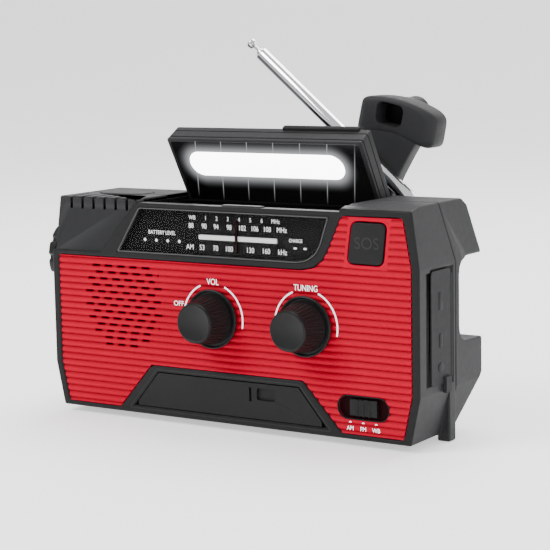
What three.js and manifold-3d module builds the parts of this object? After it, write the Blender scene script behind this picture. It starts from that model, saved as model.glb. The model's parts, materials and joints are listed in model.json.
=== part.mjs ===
// Hand-crank emergency radio. Millimetres, X to the right, Y from front to back, Z up.
// The parts are laid out from the middle of the front bezel's bottom edge, and the whole
// radio is moved at the end so that the origin is at the middle of its underside.
import * as THREE from 'three';
import { mergeVertices } from 'three/addons/utils/BufferGeometryUtils.js';
import Module from 'manifold-3d';

const wasm = await Module();
wasm.setup();

// ---- driving sizes ----
const GAP = 0.3;
const WALL = 2.2;
const HALF = 80;
const TOP_HALF = 77.1;
const FOOT_HALF = 76.4;
const BEND_LOW = 17.1;
const BEND_HIGH = 61.5;
const BEZEL_TOP = 81.2;
const CROWN = 82.5;
const DEEP = 48.1;
const SEAM = 27;
const SEAM_TOP = 19.5;
const BASE = -2.5;
const FRONT_WALL = 4.2;
const PANEL_DEPTH = 2.2;
const FAR = 200;

const RIB_PITCH = 2.5;
const SPEAKER = { x: -45.5, z: 43, r: 17.5 };
const VOLUME = { x: -5.2, z: 38.7 };
const TUNING = { x: 34.6, z: 38.9 };
const SHAFT_R = 3;
const BAND = { x: 57.5, z: 11.5, w: 20.2, h: 7.9 };
const SOS = [[52, 62.3], [65.8, 62.1], [67.4, 76.6], [54, 76.8]];
const SOS_MID = [60, 69.5];
const LIGHT = { x: -59, y: 21, w: 22, h: 13 };
const TORCH = { y: 16, z: 57, r: 14.2 };
const PORTS = { y0: 8.2, y1: 22.4, z0: 19.5, z1: 59.8 };
const BAY = { x: 25.3, y0: 4.6, y1: 27, z0: 3.2, z1: 26.2 };
const CELLS = [[10, 9.8], [20.4, 9.8], [15.2, 19.2]];
const BOARD = { y0: 12.6, y1: 14.2 };

const LID = { x0: -37, x1: 47.9, y: 37, z: 77.75, length: 31.4, thick: 8.5, open: 60 };
const TRAY = { x0: -37.6, x1: 48.5, y0: 4.6, y1: 41.2, floor: 71, rim: 80 };

const ANTENNA = { x: 55, y: 45.8, z: 78, angle: 40.1 };
const TUBES = [
  { outer: 2.7, inner: 2.3, start: 3.4, end: 86.7 },
  { outer: 2.0, inner: 1.6, start: 6, end: 87.6 },
  { outer: 1.3, inner: 0.9, start: 8, end: 88.5 },
];
const CRANK = { x: 30, z: 46.5, lean: 12, arm0: 49.5, arm1: 56.5, fold: 53 };
const MODULE = 1;
const IDLER_X = 9.9;
const ROTOR_X = -10.2;
const SCREWS = [[-62, 25, 46], [62, 25, 46], [-46, 71, 43], [70.5, 72, 42.4]];
const FOOT = { x: 60, y: 22.5, w: 9, h: 16 };

const CHARCOAL = [0x2c2e2f, 0.62, 0];
const GREY = [0x4a4c4e, 0.6, 0];
const BLACK = [0x151617, 0.5, 0];
const RED = [0xcf2a3a, 0.5, 0];
const CHROME = [0xd8dadc, 0.15, 1];
const STEEL = [0x9a9da0, 0.3, 1];
const BRASS = [0xb08d4a, 0.35, 1];
const BOARD_GREEN = [0x1f6b3a, 0.5, 0];
const RUBBER = [0x1e1f20, 0.85, 0];
const WHITE = [0xf4f5f5, 0.4, 0];
const GLASS = [0x101214, 0.08, 0];
const COPPER = [0xa5643a, 0.4, 1];

// ---- solids ----

/** Turn a three.js geometry into a closed manifold solid, with its faces outward. */
function solid(geometry) {
  const bare = geometry.index ? geometry.toNonIndexed() : geometry.clone();
  bare.deleteAttribute('normal');
  bare.deleteAttribute('uv');
  const merged = mergeVertices(bare, 1e-4);
  const index = merged.index.array;
  const kept = [];
  for (let i = 0; i < index.length; i += 3) {
    const [a, b, c] = [index[i], index[i + 1], index[i + 2]];
    if (a !== b && b !== c && c !== a) kept.push(a, b, c);
  }
  const points = Float32Array.from(merged.attributes.position.array);
  if (signedVolume(points, kept) < 0) kept.reverse();
  return new wasm.Manifold(new wasm.Mesh({
    numProp: 3,
    vertProperties: points,
    triVerts: Uint32Array.from(kept),
  }));
}

/** Volume inside a triangle list, negative when its faces point inward. */
function signedVolume(points, index) {
  const corner = (i) => new THREE.Vector3().fromArray(points, 3 * index[i]);
  let total = 0;
  for (let i = 0; i < index.length; i += 3) {
    total += corner(i).dot(corner(i + 1).cross(corner(i + 2)));
  }
  return total;
}

/** Extrude an outline by depth, then carry its own x, y and depth onto three axes. */
function extruded(outline, depth, axes, shift) {
  const shape = new THREE.Shape(outline.map(([u, v]) => new THREE.Vector2(u, v)));
  const geometry = new THREE.ExtrudeGeometry(shape, { depth, bevelEnabled: false });
  geometry.applyMatrix4(new THREE.Matrix4().makeBasis(...axes));
  geometry.translate(...shift);
  return solid(geometry);
}

const X = new THREE.Vector3(1, 0, 0);
const Y = new THREE.Vector3(0, 1, 0);
const Z = new THREE.Vector3(0, 0, 1);

/** A prism along X from an outline of [y, z] points. */
const alongX = (outline, x0, x1) => extruded(outline, x1 - x0, [Y, Z, X], [x0, 0, 0]);

/** A prism along Y from an outline of [x, z] points. */
const alongY = (outline, y0, y1) =>
  extruded(outline, y1 - y0, [X, Z, Y.clone().negate()], [0, y1, 0]);

/** A prism along Z from an outline of [x, y] points. */
const alongZ = (outline, z0, z1) => extruded(outline, z1 - z0, [X, Y, Z], [0, 0, z0]);

/** A box between two corners. */
function box(x0, x1, y0, y1, z0, z1) {
  const geometry = new THREE.BoxGeometry(x1 - x0, y1 - y0, z1 - z0);
  geometry.translate((x0 + x1) / 2, (y0 + y1) / 2, (z0 + z1) / 2);
  return solid(geometry);
}

/** Points of a rectangle with round corners about (u, v). */
function roundRect(u, v, width, height, radius, steps = 5) {
  const points = [];
  const turns = [[1, -1, -90], [1, 1, 0], [-1, 1, 90], [-1, -1, 180]];
  for (const [su, sv, start] of turns) {
    for (let i = 0; i <= steps; i += 1) {
      const a = THREE.MathUtils.degToRad(start + (90 * i) / steps);
      points.push([
        u + su * (width / 2 - radius) + radius * Math.cos(a),
        v + sv * (height / 2 - radius) + radius * Math.sin(a),
      ]);
    }
  }
  return points.filter((p, i) => {
    const q = points[(i + 1) % points.length];
    return Math.hypot(p[0] - q[0], p[1] - q[1]) > 0.01;
  });
}

/** Points of a circle. */
function circle(u, v, radius, sides = 32) {
  return Array.from({ length: sides }, (_, i) => {
    const a = (2 * Math.PI * (i + 0.5)) / sides;
    return [u + radius * Math.cos(a), v + radius * Math.sin(a)];
  });
}

/** Points of an arc from angle a0 to a1 in degrees, both ends included. */
function arc(u, v, radius, a0, a1, steps) {
  return Array.from({ length: steps + 1 }, (_, i) => {
    const a = THREE.MathUtils.degToRad(a0 + ((a1 - a0) * i) / steps);
    return [u + radius * Math.cos(a), v + radius * Math.sin(a)];
  });
}

/** Move each side of a closed outline inward by a distance (outward when negative). */
function inset(outline, distance) {
  const area = outline.reduce((sum, [u, v], i) => {
    const [p, q] = outline[(i + 1) % outline.length];
    return sum + u * q - p * v;
  }, 0);
  const side = Math.sign(area) * distance;
  return outline.map((here, i) => {
    const before = outline[(i + outline.length - 1) % outline.length];
    const after = outline[(i + 1) % outline.length];
    const a = new THREE.Vector2(here[0] - before[0], here[1] - before[1]).normalize();
    const b = new THREE.Vector2(after[0] - here[0], after[1] - here[1]).normalize();
    const across = side / (1 + a.dot(b));
    return [here[0] - across * (a.y + b.y), here[1] + across * (a.x + b.x)];
  });
}

/** Round each corner of an outline with a short arc of chords. */
function rounded(outline, radius, steps = 4) {
  return outline.flatMap((here, i) => {
    const p = new THREE.Vector2(...here);
    const a = new THREE.Vector2(...outline[(i + outline.length - 1) % outline.length]).sub(p);
    const b = new THREE.Vector2(...outline[(i + 1) % outline.length]).sub(p);
    const reach = Math.min(radius, a.length() / 2.1, b.length() / 2.1);
    const from = a.setLength(reach).add(p);
    const to = b.setLength(reach).add(p);
    const curve = new THREE.QuadraticBezierCurve(from, p, to);
    return curve.getPoints(steps).map((q) => [q.x, q.y]);
  });
}

/** A turned solid from a profile of [radius, along] points, about an axis through a point. */
function turned(profile, axis, at, sides = 32) {
  const points = profile.map(([r, h]) => new THREE.Vector2(r, h));
  const geometry = new THREE.LatheGeometry(points, sides);
  if (axis === 'x') geometry.rotateZ(-Math.PI / 2);
  if (axis === 'z') geometry.rotateX(Math.PI / 2);
  geometry.translate(...at);
  return solid(geometry);
}

/** A round rod along an axis between two distances, with its middle at the other two. */
function rod(axis, u, v, radius, from, to, sides = 24) {
  if (axis === 'x') return alongX(circle(u, v, radius, sides), from, to);
  if (axis === 'y') return alongY(circle(u, v, radius, sides), from, to);
  return alongZ(circle(u, v, radius, sides), from, to);
}

/** Rotate a solid about an axis through a point, in degrees. */
function spun(shape, axis, at, degrees) {
  const matrix = new THREE.Matrix4().makeTranslation(...at);
  matrix.multiply(new THREE.Matrix4().makeRotationAxis(axis, THREE.MathUtils.degToRad(degrees)));
  matrix.multiply(new THREE.Matrix4().makeTranslation(...at.map((v) => -v)));
  return shape.transform(matrix.elements);
}

const union = (shapes) => shapes.reduce((whole, shape) => whole.add(shape));
const cut = (shape, tools) => tools.reduce((whole, tool) => whole.subtract(tool), shape);

// ---- outlines ----

const FRONT_OUTLINE = [
  [-FOOT_HALF, 0], [FOOT_HALF, 0], [HALF, BEND_LOW], [HALF, BEND_HIGH],
  [TOP_HALF, CROWN], [-TOP_HALF, CROWN], [-HALF, BEND_HIGH], [-HALF, BEND_LOW],
];
const SIDE_OUTLINE = [
  [0, 0], [31.5, 0], [DEEP, 18.6], [DEEP, 31.7],
  ...arc(36.4, 38, 6, 270, 180, 4),
  ...arc(36.4, 56.2, 6, 180, 90, 4),
  [47.9, 62.2], [41.5, 80], [38, CROWN], [6, CROWN], [0, BEZEL_TOP],
];
const PANEL_OUTLINE = [
  [-73.4, 2], [-49, 2], [-34, 19.2], [33, 19.2], [49, 2], [73.4, 2], [76.7, 17.1], [76.7, 61.5],
  [73.6, 78.6], [49.6, 78.4], [44.2, 66.6], [41.6, 62.3], [38, 59.7], [33, 58.7],
  [-76.7, 58.7], [-76.7, 17.1],
];
const DIAL_OUTLINE = [
  [-48.8, 61.2], [30.8, 61.1], [35.4, 62], [38.8, 64.3], [41, 67.6], [44.5, 78], [-38.1, 78.3],
];
const COVER_OUTLINE = [[-42.5, 2.9], [42.5, 2.9], [31, 16.6], [-31, 16.6]];
const SHOULDER_OUTLINE = [[-90, 60.6], [-57, 60.6], [-41.2, 78.3], [-38, 84], [-90, 84]];
const SEAM_OUTLINE = [[-9, -9], [SEAM, -9], [SEAM, BEND_HIGH], [SEAM_TOP, CROWN + 1], [-9, CROWN + 1]];

const OUTER = alongY(FRONT_OUTLINE, -1, FAR).intersect(alongX(SIDE_OUTLINE, -FAR, FAR));
const INNER = alongY(inset(FRONT_OUTLINE, WALL), FRONT_WALL, FAR)
  .intersect(alongX(inset(SIDE_OUTLINE, WALL), -FAR, FAR));
const FRONT_HALF = alongX(SEAM_OUTLINE, -FAR, FAR);

/** Space taken from both shells for the lid's tray, and for the low rim in front of it. */
function trayPocket() {
  return box(
    TRAY.x0 - 1.4 - GAP, TRAY.x1 + 1.4 + GAP, TRAY.y0 - GAP, TRAY.y1 + 1.2 + GAP,
    TRAY.floor - 1.4 - GAP, FAR,
  ).add(box(TRAY.x0 - 1, TRAY.x1 + 0.4, -1, 60, TRAY.rim, FAR))
    .add(box(-FAR, TRAY.x0, -1, 60, BEZEL_TOP, FAR));
}

/** Six grip grooves over the front edge of the left shoulder. */
function gripGrooves() {
  return Array.from({ length: 6 }, (_, i) => {
    const x = -71.6 + 5.3 * i;
    return alongX([[1, 76.5], [3.6, 76.5], [13, 80.2], [13, 84], [1, 84]], x - 0.6, x + 0.6);
  });
}

// ---- casing ----

function frontShell() {
  const shell = OUTER.intersect(FRONT_HALF).subtract(INNER);
  const bosses = SCREWS.map(([x, z, y]) =>
    rod('y', x, z, 3.4, FRONT_WALL - 1, Math.min(SEAM, z > BEND_HIGH ? 21 : 26), 16));
  const fins = [-1, 1].map((s) =>
    box(Math.min(s * 75, s * HALF), Math.max(s * 75, s * HALF), 22, SEAM, BASE, BEND_LOW));
  const step = box(-1, 16, 1, 3.6, TRAY.rim - 0.5, TRAY.rim + 0.5);
  const body = union([shell, ...bosses, ...fins]);
  return cut(body, [
    alongY(inset(rounded(PANEL_OUTLINE, 1.6, 2), -0.2), -1, PANEL_DEPTH),
    alongY(DIAL_OUTLINE, -1, 5),
    alongY(SHOULDER_OUTLINE, -2, 2.5),
    alongY(COVER_OUTLINE, -1, 2.2),
    box(-BAY.x + 0.6, BAY.x - 0.6, 1, 6, 4.6, 15.6),
    rod('y', SPEAKER.x, SPEAKER.z, SPEAKER.r, 1, 6, 40),
    rod('y', VOLUME.x, VOLUME.z, SHAFT_R + 0.8, 1, 6),
    rod('y', TUNING.x, TUNING.z, SHAFT_R + 0.8, 1, 6),
    alongY(rounded(inset(SOS, -0.4), 2.4), 1, 6),
    alongY(roundRect(BAND.x, BAND.z, BAND.w, BAND.h, BAND.h / 2 - 0.01), 1, 6),
    trayPocket(),
    alongZ(roundRect(LIGHT.x, LIGHT.y, LIGHT.w + 0.6, LIGHT.h + 0.6, LIGHT.h / 2), 76, FAR),
    rod('x', TORCH.y, TORCH.z, TORCH.r - 1.2, -FAR, -70, 40),
    ...gripGrooves(),
    ...portCuts(),
    ...SCREWS.map(([x, z]) => rod('y', x, z, 1.5, 8, 40, 12)),
  ]).add(step);
}

/** The flap's shallow recess in the right side, the finger groove before it, and the three holes behind. */
function portCuts() {
  const { y0, y1, z0, z1 } = PORTS;
  return [
    box(HALF - 1.3, FAR, y0 - GAP, y1 + 2.6, z0 - GAP, z1 + GAP),
    box(HALF - 0.9, FAR, y0 - 2.6, y0, z0 + 0.6, z1 - 0.6),
    box(74, FAR, 11.8, 18.2, 41.9, 55.9),
    box(74, FAR, 13.1, 16.9, 30.2, 39.8),
    rod('x', 15, 24.5, 3.3, 74, FAR, 20),
  ];
}

function rearShell() {
  const shell = OUTER.subtract(FRONT_HALF).subtract(INNER);
  const bosses = SCREWS.map(([x, z, y]) => rod('y', x, z, 3.4, z > BEND_HIGH ? 24 : 28, y, 16));
  const body = shell.add(union(bosses).intersect(OUTER));
  return cut(body, [
    trayPocket(),
    rod('y', CRANK.x, CRANK.z, 4.3, 20, 36),
    alongZ(roundRect(LIGHT.x, LIGHT.y, LIGHT.w + 0.6, LIGHT.h + 0.6, LIGHT.h / 2), 76, FAR),
    rod('x', TORCH.y, TORCH.z, TORCH.r - 1.2, -FAR, -70, 40),
    ...SCREWS.map(([x, z]) => rod('y', x, z, 1.6, 20, 60, 12)),
    ...SCREWS.map(([x, z, y]) => rod('y', x, z, 2.8, y - 2.2, 60, 16)),
  ]);
}

function frontPanel() {
  const ribs = [[PANEL_DEPTH - 0.1, -1], [0.95, -1]];
  for (let i = 0; i < 32; i += 1) {
    const z = 0.4 + RIB_PITCH * i;
    ribs.push([0.95, z], [0.2, z + 0.6 * RIB_PITCH]);
  }
  ribs.push([0.95, 82], [PANEL_DEPTH - 0.1, 82]);
  const slots = [];
  for (let row = 0; row < 13; row += 1) {
    const z = 0.4 + RIB_PITCH * (10 + row);
    const half = Math.sqrt(SPEAKER.r ** 2 - (z - SPEAKER.z) ** 2 * 0.75) + 1.5;
    const first = SPEAKER.x - half + (row % 2) * 2.9;
    for (let x = first; x < SPEAKER.x + half - 3; x += 5.8) {
      slots.push(box(x, x + 3.4, -1, 4, z - 0.45, z + 0.45));
    }
  }
  const whole = alongY(rounded(PANEL_OUTLINE, 1.6, 2), 0.2, PANEL_DEPTH - 0.1);
  const flat = alongY(rounded(inset(SOS, -1.6), 3.4), -1, 3);
  const ribbed = whole.intersect(alongX(ribs, -FAR, FAR));
  return cut(ribbed.add(whole.intersect(flat)), [
    union(slots),
    rod('y', VOLUME.x, VOLUME.z, SHAFT_R + 0.8, -2, 6),
    rod('y', TUNING.x, TUNING.z, SHAFT_R + 0.8, -2, 6),
    alongY(rounded(inset(SOS, -0.4), 2.4), -2, 6),
    alongY(roundRect(BAND.x, BAND.z, BAND.w, BAND.h, BAND.h / 2 - 0.01), -2, 6),
  ]);
}

function lidTray() {
  const { x0, x1, y0, y1, floor, rim } = TRAY;
  const body = box(x0 - 1.3, x1 + 1.3, y0, y1 + 1.2, floor - 1.3, rim - 0.2);
  return cut(body, [
    box(x0, x1, y0 + 0.6, y1, floor, FAR),
    box(x0 - 2, x1 + 2, y1 - 0.5, FAR, 77.2, FAR),
    rod('x', LID.y, LID.z, 1.55, x0 - 1, x1 + 1, 16),
    box(x0 - 2, x0 + 0.1, LID.y - 1.55, LID.y + 1.55, LID.z, FAR),
    box(x1 - 0.1, x1 + 2, LID.y - 1.55, LID.y + 1.55, LID.z, FAR),
  ]);
}

function batteryCover() {
  const plate = alongY(inset(COVER_OUTLINE, GAP), 0.3, 1.9).intersect(box(-40.4, 40.4, 0, 2, 0, 20));
  return cut(plate, [
    alongY(roundRect(17.1, 12.4, 8, 4.4, 0.8, 2), -1, 1.3),
    box(9.8, 10.8, -1, 1.3, 9.5, 14.6),
  ]);
}

function batteryBox() {
  const { x, y0, y1, z0, z1 } = BAY;
  return cut(box(-x - 1.2, x + 1.2, y0, y1, z0, z1), [
    box(-x, x, y0 - 1, y1 - 1.2, z0 + 1.2, z1 - 1.2),
  ]);
}

/** A strip with three coils standing on it, one for each cell. */
function contactSprings() {
  const strip = box(0, 0.7, 5.6, 25, 5, 24);
  const coils = CELLS.map(([y, z]) => springCoil().translate(0, y, z));
  return union([strip, ...coils]).translate(-BAY.x + GAP, 0, 0);
}

/** One conical coil of round wire, standing along X. */
function springCoil() {
  const turns = 2.4;
  const points = Array.from({ length: 25 }, (_, i) => {
    const a = (2 * Math.PI * turns * i) / 24;
    const r = 3.4 - 0.04 * i;
    return new THREE.Vector3(0.5 + 0.2 * i, r * Math.cos(a), r * Math.sin(a));
  });
  const section = new THREE.Shape(circle(0, 0, 0.35, 5).map((p) => new THREE.Vector2(...p)));
  const path = new THREE.CatmullRomCurve3(points);
  return solid(new THREE.ExtrudeGeometry(section, { steps: 26, extrudePath: path }));
}

function contactPlate() {
  return box(BAY.x - 1, BAY.x - GAP, 5.6, 25, 5, 24);
}

function portCover() {
  const { y0, y1, z0, z1 } = PORTS;
  const flap = alongX(roundRect((y0 + y1) / 2, (z0 + z1) / 2, y1 - y0, z1 - z0, 1.4, 2),
    HALF - 1, HALF + 0.3);
  const barrel = rod('z', HALF - 0.35, y1 + 0.9, 0.85, z0 + 2, z1 - 2, 12);
  const tab = box(HALF + 0.1, HALF + 1.5, 17, 21, z0 - 3.2, z0 + 2.4);
  return union([flap, barrel, box(HALF - 0.9, HALF + 0.2, y1 - 0.5, y1 + 1, z0 + 2, z1 - 2), tab]);
}

function lightButton() {
  return alongZ(roundRect(LIGHT.x, LIGHT.y, LIGHT.w, LIGHT.h, LIGHT.h / 2 - 0.01), 77.2, 81.6);
}

function sosButton() {
  const cap = alongY(rounded(SOS, 2.2), -0.5, FRONT_WALL + 0.2);
  return cap.add(rod('y', ...SOS_MID, 1.6, FRONT_WALL - 0.5, 7.4, 16));
}

function bandSlider() {
  const block = box(BAND.x - 5.4, BAND.x + 5.4, 0.3, 3, BAND.z - 3, BAND.z + 3);
  const grips = [-2.4, 0, 2.4].map((x) =>
    box(BAND.x + x - 0.4, BAND.x + x + 0.4, -0.4, 0.6, BAND.z - 2.7, BAND.z + 2.7));
  return union([block, ...grips]);
}

const foot = (side) =>
  alongZ(roundRect(side * FOOT.x, FOOT.y, FOOT.w, FOOT.h, 3), BASE, 0);

function caseScrew([x, z, y]) {
  const head = rod('y', x, z, 2.5, y - 1.9, y - 0.4, 16);
  const slot = box(x - 2, x + 2, y - 1, y, z - 0.3, z + 0.3);
  return head.add(rod('y', x, z, 1.2, 12, y - 1.8, 12)).subtract(slot)
    .subtract(box(x - 0.3, x + 0.3, y - 1, y, z - 2, z + 2));
}

// ---- dial ----

const dialWindow = () => alongY(inset(DIAL_OUTLINE, 0.2), 0.25, 1.4);
const dialPlate = () => cut(alongY(inset(DIAL_OUTLINE, 0.2), 3, 3.8), [box(-12.8, 21.4, 2, 5, 67, 69.2)]);
const dialStrip = () => box(-12.6, 21.2, 3.1, 4.2, 67.2, 69);
const dialPointer = () => box(3.9, 4.7, 1.8, 2.6, 63, 75);

// ---- controls ----

function knob({ x, z }) {
  const profile = [
    [0, 6.6], [SHAFT_R, 6.6], [SHAFT_R, -0.6], [11, -0.6], [11, -1.6], [10.2, -3.4],
    [8.6, -4], [8.2, -10.4], [7.2, -11.6], [6.9, -12.2], [6.2, -12.4], [0, -12.4],
  ];
  const body = turned(profile, 'y', [x, 0, z], 32);
  const grooves = Array.from({ length: 16 }, (_, i) => {
    const a = (2 * Math.PI * i) / 16;
    return rod('y', x + 8.7 * Math.cos(a), z + 8.7 * Math.sin(a), 0.6, -10.6, -4.2, 4);
  });
  return cut(body, [union(grooves), box(x - 0.5, x + 0.5, -14, -12, z + 3.4, z + 6)]);
}

const volumePot = () => rod('y', VOLUME.x, VOLUME.z, 8, 7, 12.2)
  .add(box(VOLUME.x - 6, VOLUME.x + 6, 8, 12.3, VOLUME.z - 11, VOLUME.z));
const tuningCapacitor = () =>
  box(TUNING.x - 10, TUNING.x + 10, 7, 12.3, TUNING.z - 10, TUNING.z + 10);
const bandSwitch = () => box(BAND.x - 7.4, BAND.x + 7.4, 3.4, 9, BAND.z - 2.6, BAND.z + 2.6);
const sosSwitch = () => box(57, 63, 8, 12.3, 66.5, 72.5);
const lightSwitch = () => box(LIGHT.x - 5, LIGHT.x + 5, 17, 25, 71.5, 75.6);
const mainBoard = () => alongY(
  [[-20, 28], [58, 28], [58, 62], [66.5, 62], [66.5, 77], [53, 77], [53, 66], [-20, 66]],
  BOARD.y0, BOARD.y1,
);

// ---- sound ----

function speakerFrame() {
  const ring = rod('y', SPEAKER.x, SPEAKER.z, 19, 4.6, 6.6, 40);
  const cup = turned([[0, 6], [17.6, 6], [10, 14], [0, 14]], 'y', [SPEAKER.x, 0, SPEAKER.z], 32);
  const inside = turned([[0, 4], [16.9, 4], [16.9, 5.8], [9.4, 13.2], [0, 13.2]], 'y',
    [SPEAKER.x, 0, SPEAKER.z], 32);
  const magnet = rod('y', SPEAKER.x, SPEAKER.z, 9, 13.8, 20);
  return union([ring, cup, magnet]).subtract(inside);
}

function speakerCone() {
  const profile = [
    [0, 9.4], [4, 9.6], [5, 12], [6, 11.4], [15.8, 5.2], [16.4, 5], [16.4, 5.7], [15.9, 5.9],
    [6.4, 12.6], [4.6, 12.8], [0, 10.2],
  ];
  return turned(profile, 'y', [SPEAKER.x, 0, SPEAKER.z], 32);
}


// ---- power ----

const cellPack = () => alongX(roundRect(37, 25, 12, 9, 2.5, 3), -50, 52);

function usbSocket() {
  const shell = box(66.8, 78.4, 12.1, 17.9, 42.3, 55.5).subtract(box(68, FAR, 12.6, 17.4, 42.8, 55));
  return shell.add(box(67, 77.6, 13, 14.8, 43.4, 54.4));
}

function usbCSocket() {
  const shell = alongX(roundRect(15, 35, 3.2, 9, 1.55, 3), 70, 78.4)
    .subtract(alongX(roundRect(15, 35, 2.6, 8.4, 1.25, 3), 71, FAR));
  return shell.add(box(70.5, 77.8, 14.7, 15.3, 32, 38));
}

function earphoneJack() {
  return box(67.6, 77, 12, 18, 21.5, 27.5).add(rod('x', 15, 24.5, 3, 76, 78.4, 20))
    .subtract(rod('x', 15, 24.5, 1.8, 69, FAR, 16));
}

// ---- torch ----

function torchBezel() {
  const { y, z, r } = TORCH;
  const ring = turned(
    [[r - 2.6, -84], [r - 0.8, -84], [r, -83.2], [r, -80.3], [r - 1.5, -80.3], [r - 1.5, -77.6],
      [r - 2.6, -77.6], [r - 2.6, -84]], 'x', [0, y, z], 40);
  const lugs = Array.from({ length: 12 }, (_, i) => {
    const a = (Math.PI * i) / 6 + Math.PI / 12;
    return rod('x', y + r * Math.cos(a), z + r * Math.sin(a), 1.5, -85, -81, 10);
  });
  return cut(ring, [union(lugs)]);
}

const torchLens = () => turned(
  [[0, -83.6], [9, -83.4], [11.3, -82.8], [11.3, -81.4], [0, -81.4]], 'x', [0, TORCH.y, TORCH.z], 32);
const torchReflector = () => turned(
  [[1.8, -67], [4, -67], [8.4, -71.5], [11.3, -78], [11.3, -81.1], [10.7, -81.1], [10.6, -78],
    [7.8, -72.2], [3.4, -68], [1.8, -68], [1.8, -67]], 'x', [0, TORCH.y, TORCH.z], 32);
const torchLamp = () => box(-68.4, -66.9, TORCH.y - 1.2, TORCH.y + 1.2, TORCH.z - 1.2, TORCH.z + 1.2)
  .add(box(-66.9, -65.6, TORCH.y - 5, TORCH.y + 5, TORCH.z - 5, TORCH.z + 5));

// ---- lid, drawn shut and then swung open ----

/** Swing a piece of the lid from shut to its open rest position. */
const opened = (shape) => spun(shape, X, [0, LID.y, LID.z], -LID.open);
const lidY = (s) => LID.y - s;
const lidZ = (n) => LID.z + n;

function lidShell() {
  const { x0, x1, length, thick } = LID;
  const half = thick / 2;
  const section = [
    [lidY(0.5), lidZ(-half + 1.7)], [lidY(0.5), lidZ(half)], [lidY(length - 1.5), lidZ(half)],
    [lidY(length), lidZ(half - 1.5)], [lidY(length), lidZ(-half + 1.7)],
  ];
  const body = alongX(section, x0, x1);
  const hollow = box(x0 + 1.4, x1 - 1.4, lidY(length - 1.4), lidY(2), lidZ(-6), lidZ(half - 2.2));
  const panelBed = box(-29.6, 40.6, lidY(28.3), lidY(4.7), lidZ(half - 0.9), FAR);
  const lip = box(11.3, 43.7, lidY(length + 1.2), lidY(length - 3), lidZ(half - 1.4),
    lidZ(half + 0.3));
  const ears = [box(x0, x0 + 5, lidY(3), lidY(-2.4), lidZ(-2.4), lidZ(2.4)),
    box(x1 - 5, x1, lidY(3), lidY(-2.4), lidZ(-2.4), lidZ(2.4))];
  const pins = rod('x', LID.y, LID.z, 1.2, x0 - 1.4, x0 + 1, 16)
    .add(rod('x', LID.y, LID.z, 1.2, x1 - 1, x1 + 1.4, 16));
  return opened(union([cut(body, [hollow, panelBed]), lip, pins, ...ears]));
}

function lampPanel() {
  const { x0, x1, length, thick } = LID;
  const plate = box(x0, x1, lidY(length), lidY(3.4), lidZ(-thick / 2), lidZ(-thick / 2 + 1.4));
  const window = alongZ(roundRect(4, lidY(20.4), 68.2, 11.3, 5.6, 6), 60, FAR);
  return opened(plate.subtract(window));
}

const lampDiffuser = () => opened(alongZ(roundRect(4, lidY(20.4), 67.6, 10.7, 5.3, 6),
  lidZ(-LID.thick / 2 - 0.5), lidZ(-LID.thick / 2 + 1.6)));
const lampBoard = () => opened(box(-28, 36, lidY(25), lidY(15.5), lidZ(-1.6), lidZ(-0.8)));
const solarPanel = () => opened(box(-29.3, 40.3, lidY(28), lidY(5), lidZ(LID.thick / 2 - 0.8),
  lidZ(LID.thick / 2 - 0.1)));

// ---- antenna, drawn along -X and then tilted up ----

/** Tilt a piece of the antenna from lying flat to its rest angle. */
const raised = (shape) => spun(shape, Y, [ANTENNA.x, ANTENNA.y, ANTENNA.z], ANTENNA.angle);

function antennaBase() {
  const { x, y, z } = ANTENNA;
  const foot = alongX([[41.2, 80.7], [43, 75.9], [48, 62.5], [48, 70], [46, 74], [44.4, 80.6]],
    x - 2, x + 8);
  const cheeks = [[y - 2.5, y - 1.6], [y + 1.6, y + 2.5]].map(([a, b]) =>
    alongY([
      [x - 2.6, z - 4.5], [x + 6, z - 5.5], [x + 6, z + 1], [x + 2, z + 2.6], [x - 2.6, z + 2],
    ], a, b));
  const floor = box(x - 2, x + 8, y - 2.5, y + 2.5, z - 8, z - 4.2);
  return cut(union([...cheeks, floor, box(x + 4.4, x + 8, y - 2.5, y + 2.5, z - 7, z + 1)]), [
    rod('y', x, z, 1, y - 4, y + 4, 12),
    OUTER,
  ]).add(foot.subtract(OUTER).intersect(box(x, x + 8, 0, y - 1.6, 0, z - 4)));
}

const antennaPin = () => rod('y', ANTENNA.x, ANTENNA.z, 0.75, ANTENNA.y - 2.5, ANTENNA.y + 2.5, 12);

function antennaTube(index) {
  const { x, y, z } = ANTENNA;
  const { outer, inner, start, end } = TUBES[index];
  const tube = rod('x', y, z, outer, x - end, x - start, 20)
    .subtract(rod('x', y, z, inner, x - end - 1, x - start + (index ? 1 : -1.2), 20));
  if (index) return raised(tube);
  const knuckle = rod('y', x, z, 2.6, y - 1.3, y + 1.3, 20)
    .add(box(x - 4, x, y - 1.3, y + 1.3, z - 1.7, z + 1.7));
  const collar = rod('x', y, z, 3, x - 9, x - 3.4, 20)
    .subtract(rod('x', y, z, inner, x - 10, x - 4.6, 20));
  return raised(union([tube, knuckle, collar]).subtract(rod('y', x, z, 1.05, y - 4, y + 4, 12)));
}

function antennaRod() {
  const { x, y, z } = ANTENNA;
  const stem = rod('x', y, z, 0.6, x - 91.6, x - 10, 12);
  const tip = turned([[0, -93.9], [1.6, -93.9], [2, -93.4], [2, -91.8], [1.2, -91.2], [0, -91.2]],
    'x', [x, y, z], 20);
  return raised(stem.add(tip));
}

// ---- crank, drawn upright and then leaned ----

/** Lean a piece of the crank from upright to its rest angle about the hub. */
const leaned = (shape) => spun(shape, Y, [CRANK.x, 0, CRANK.z], CRANK.lean);

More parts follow.
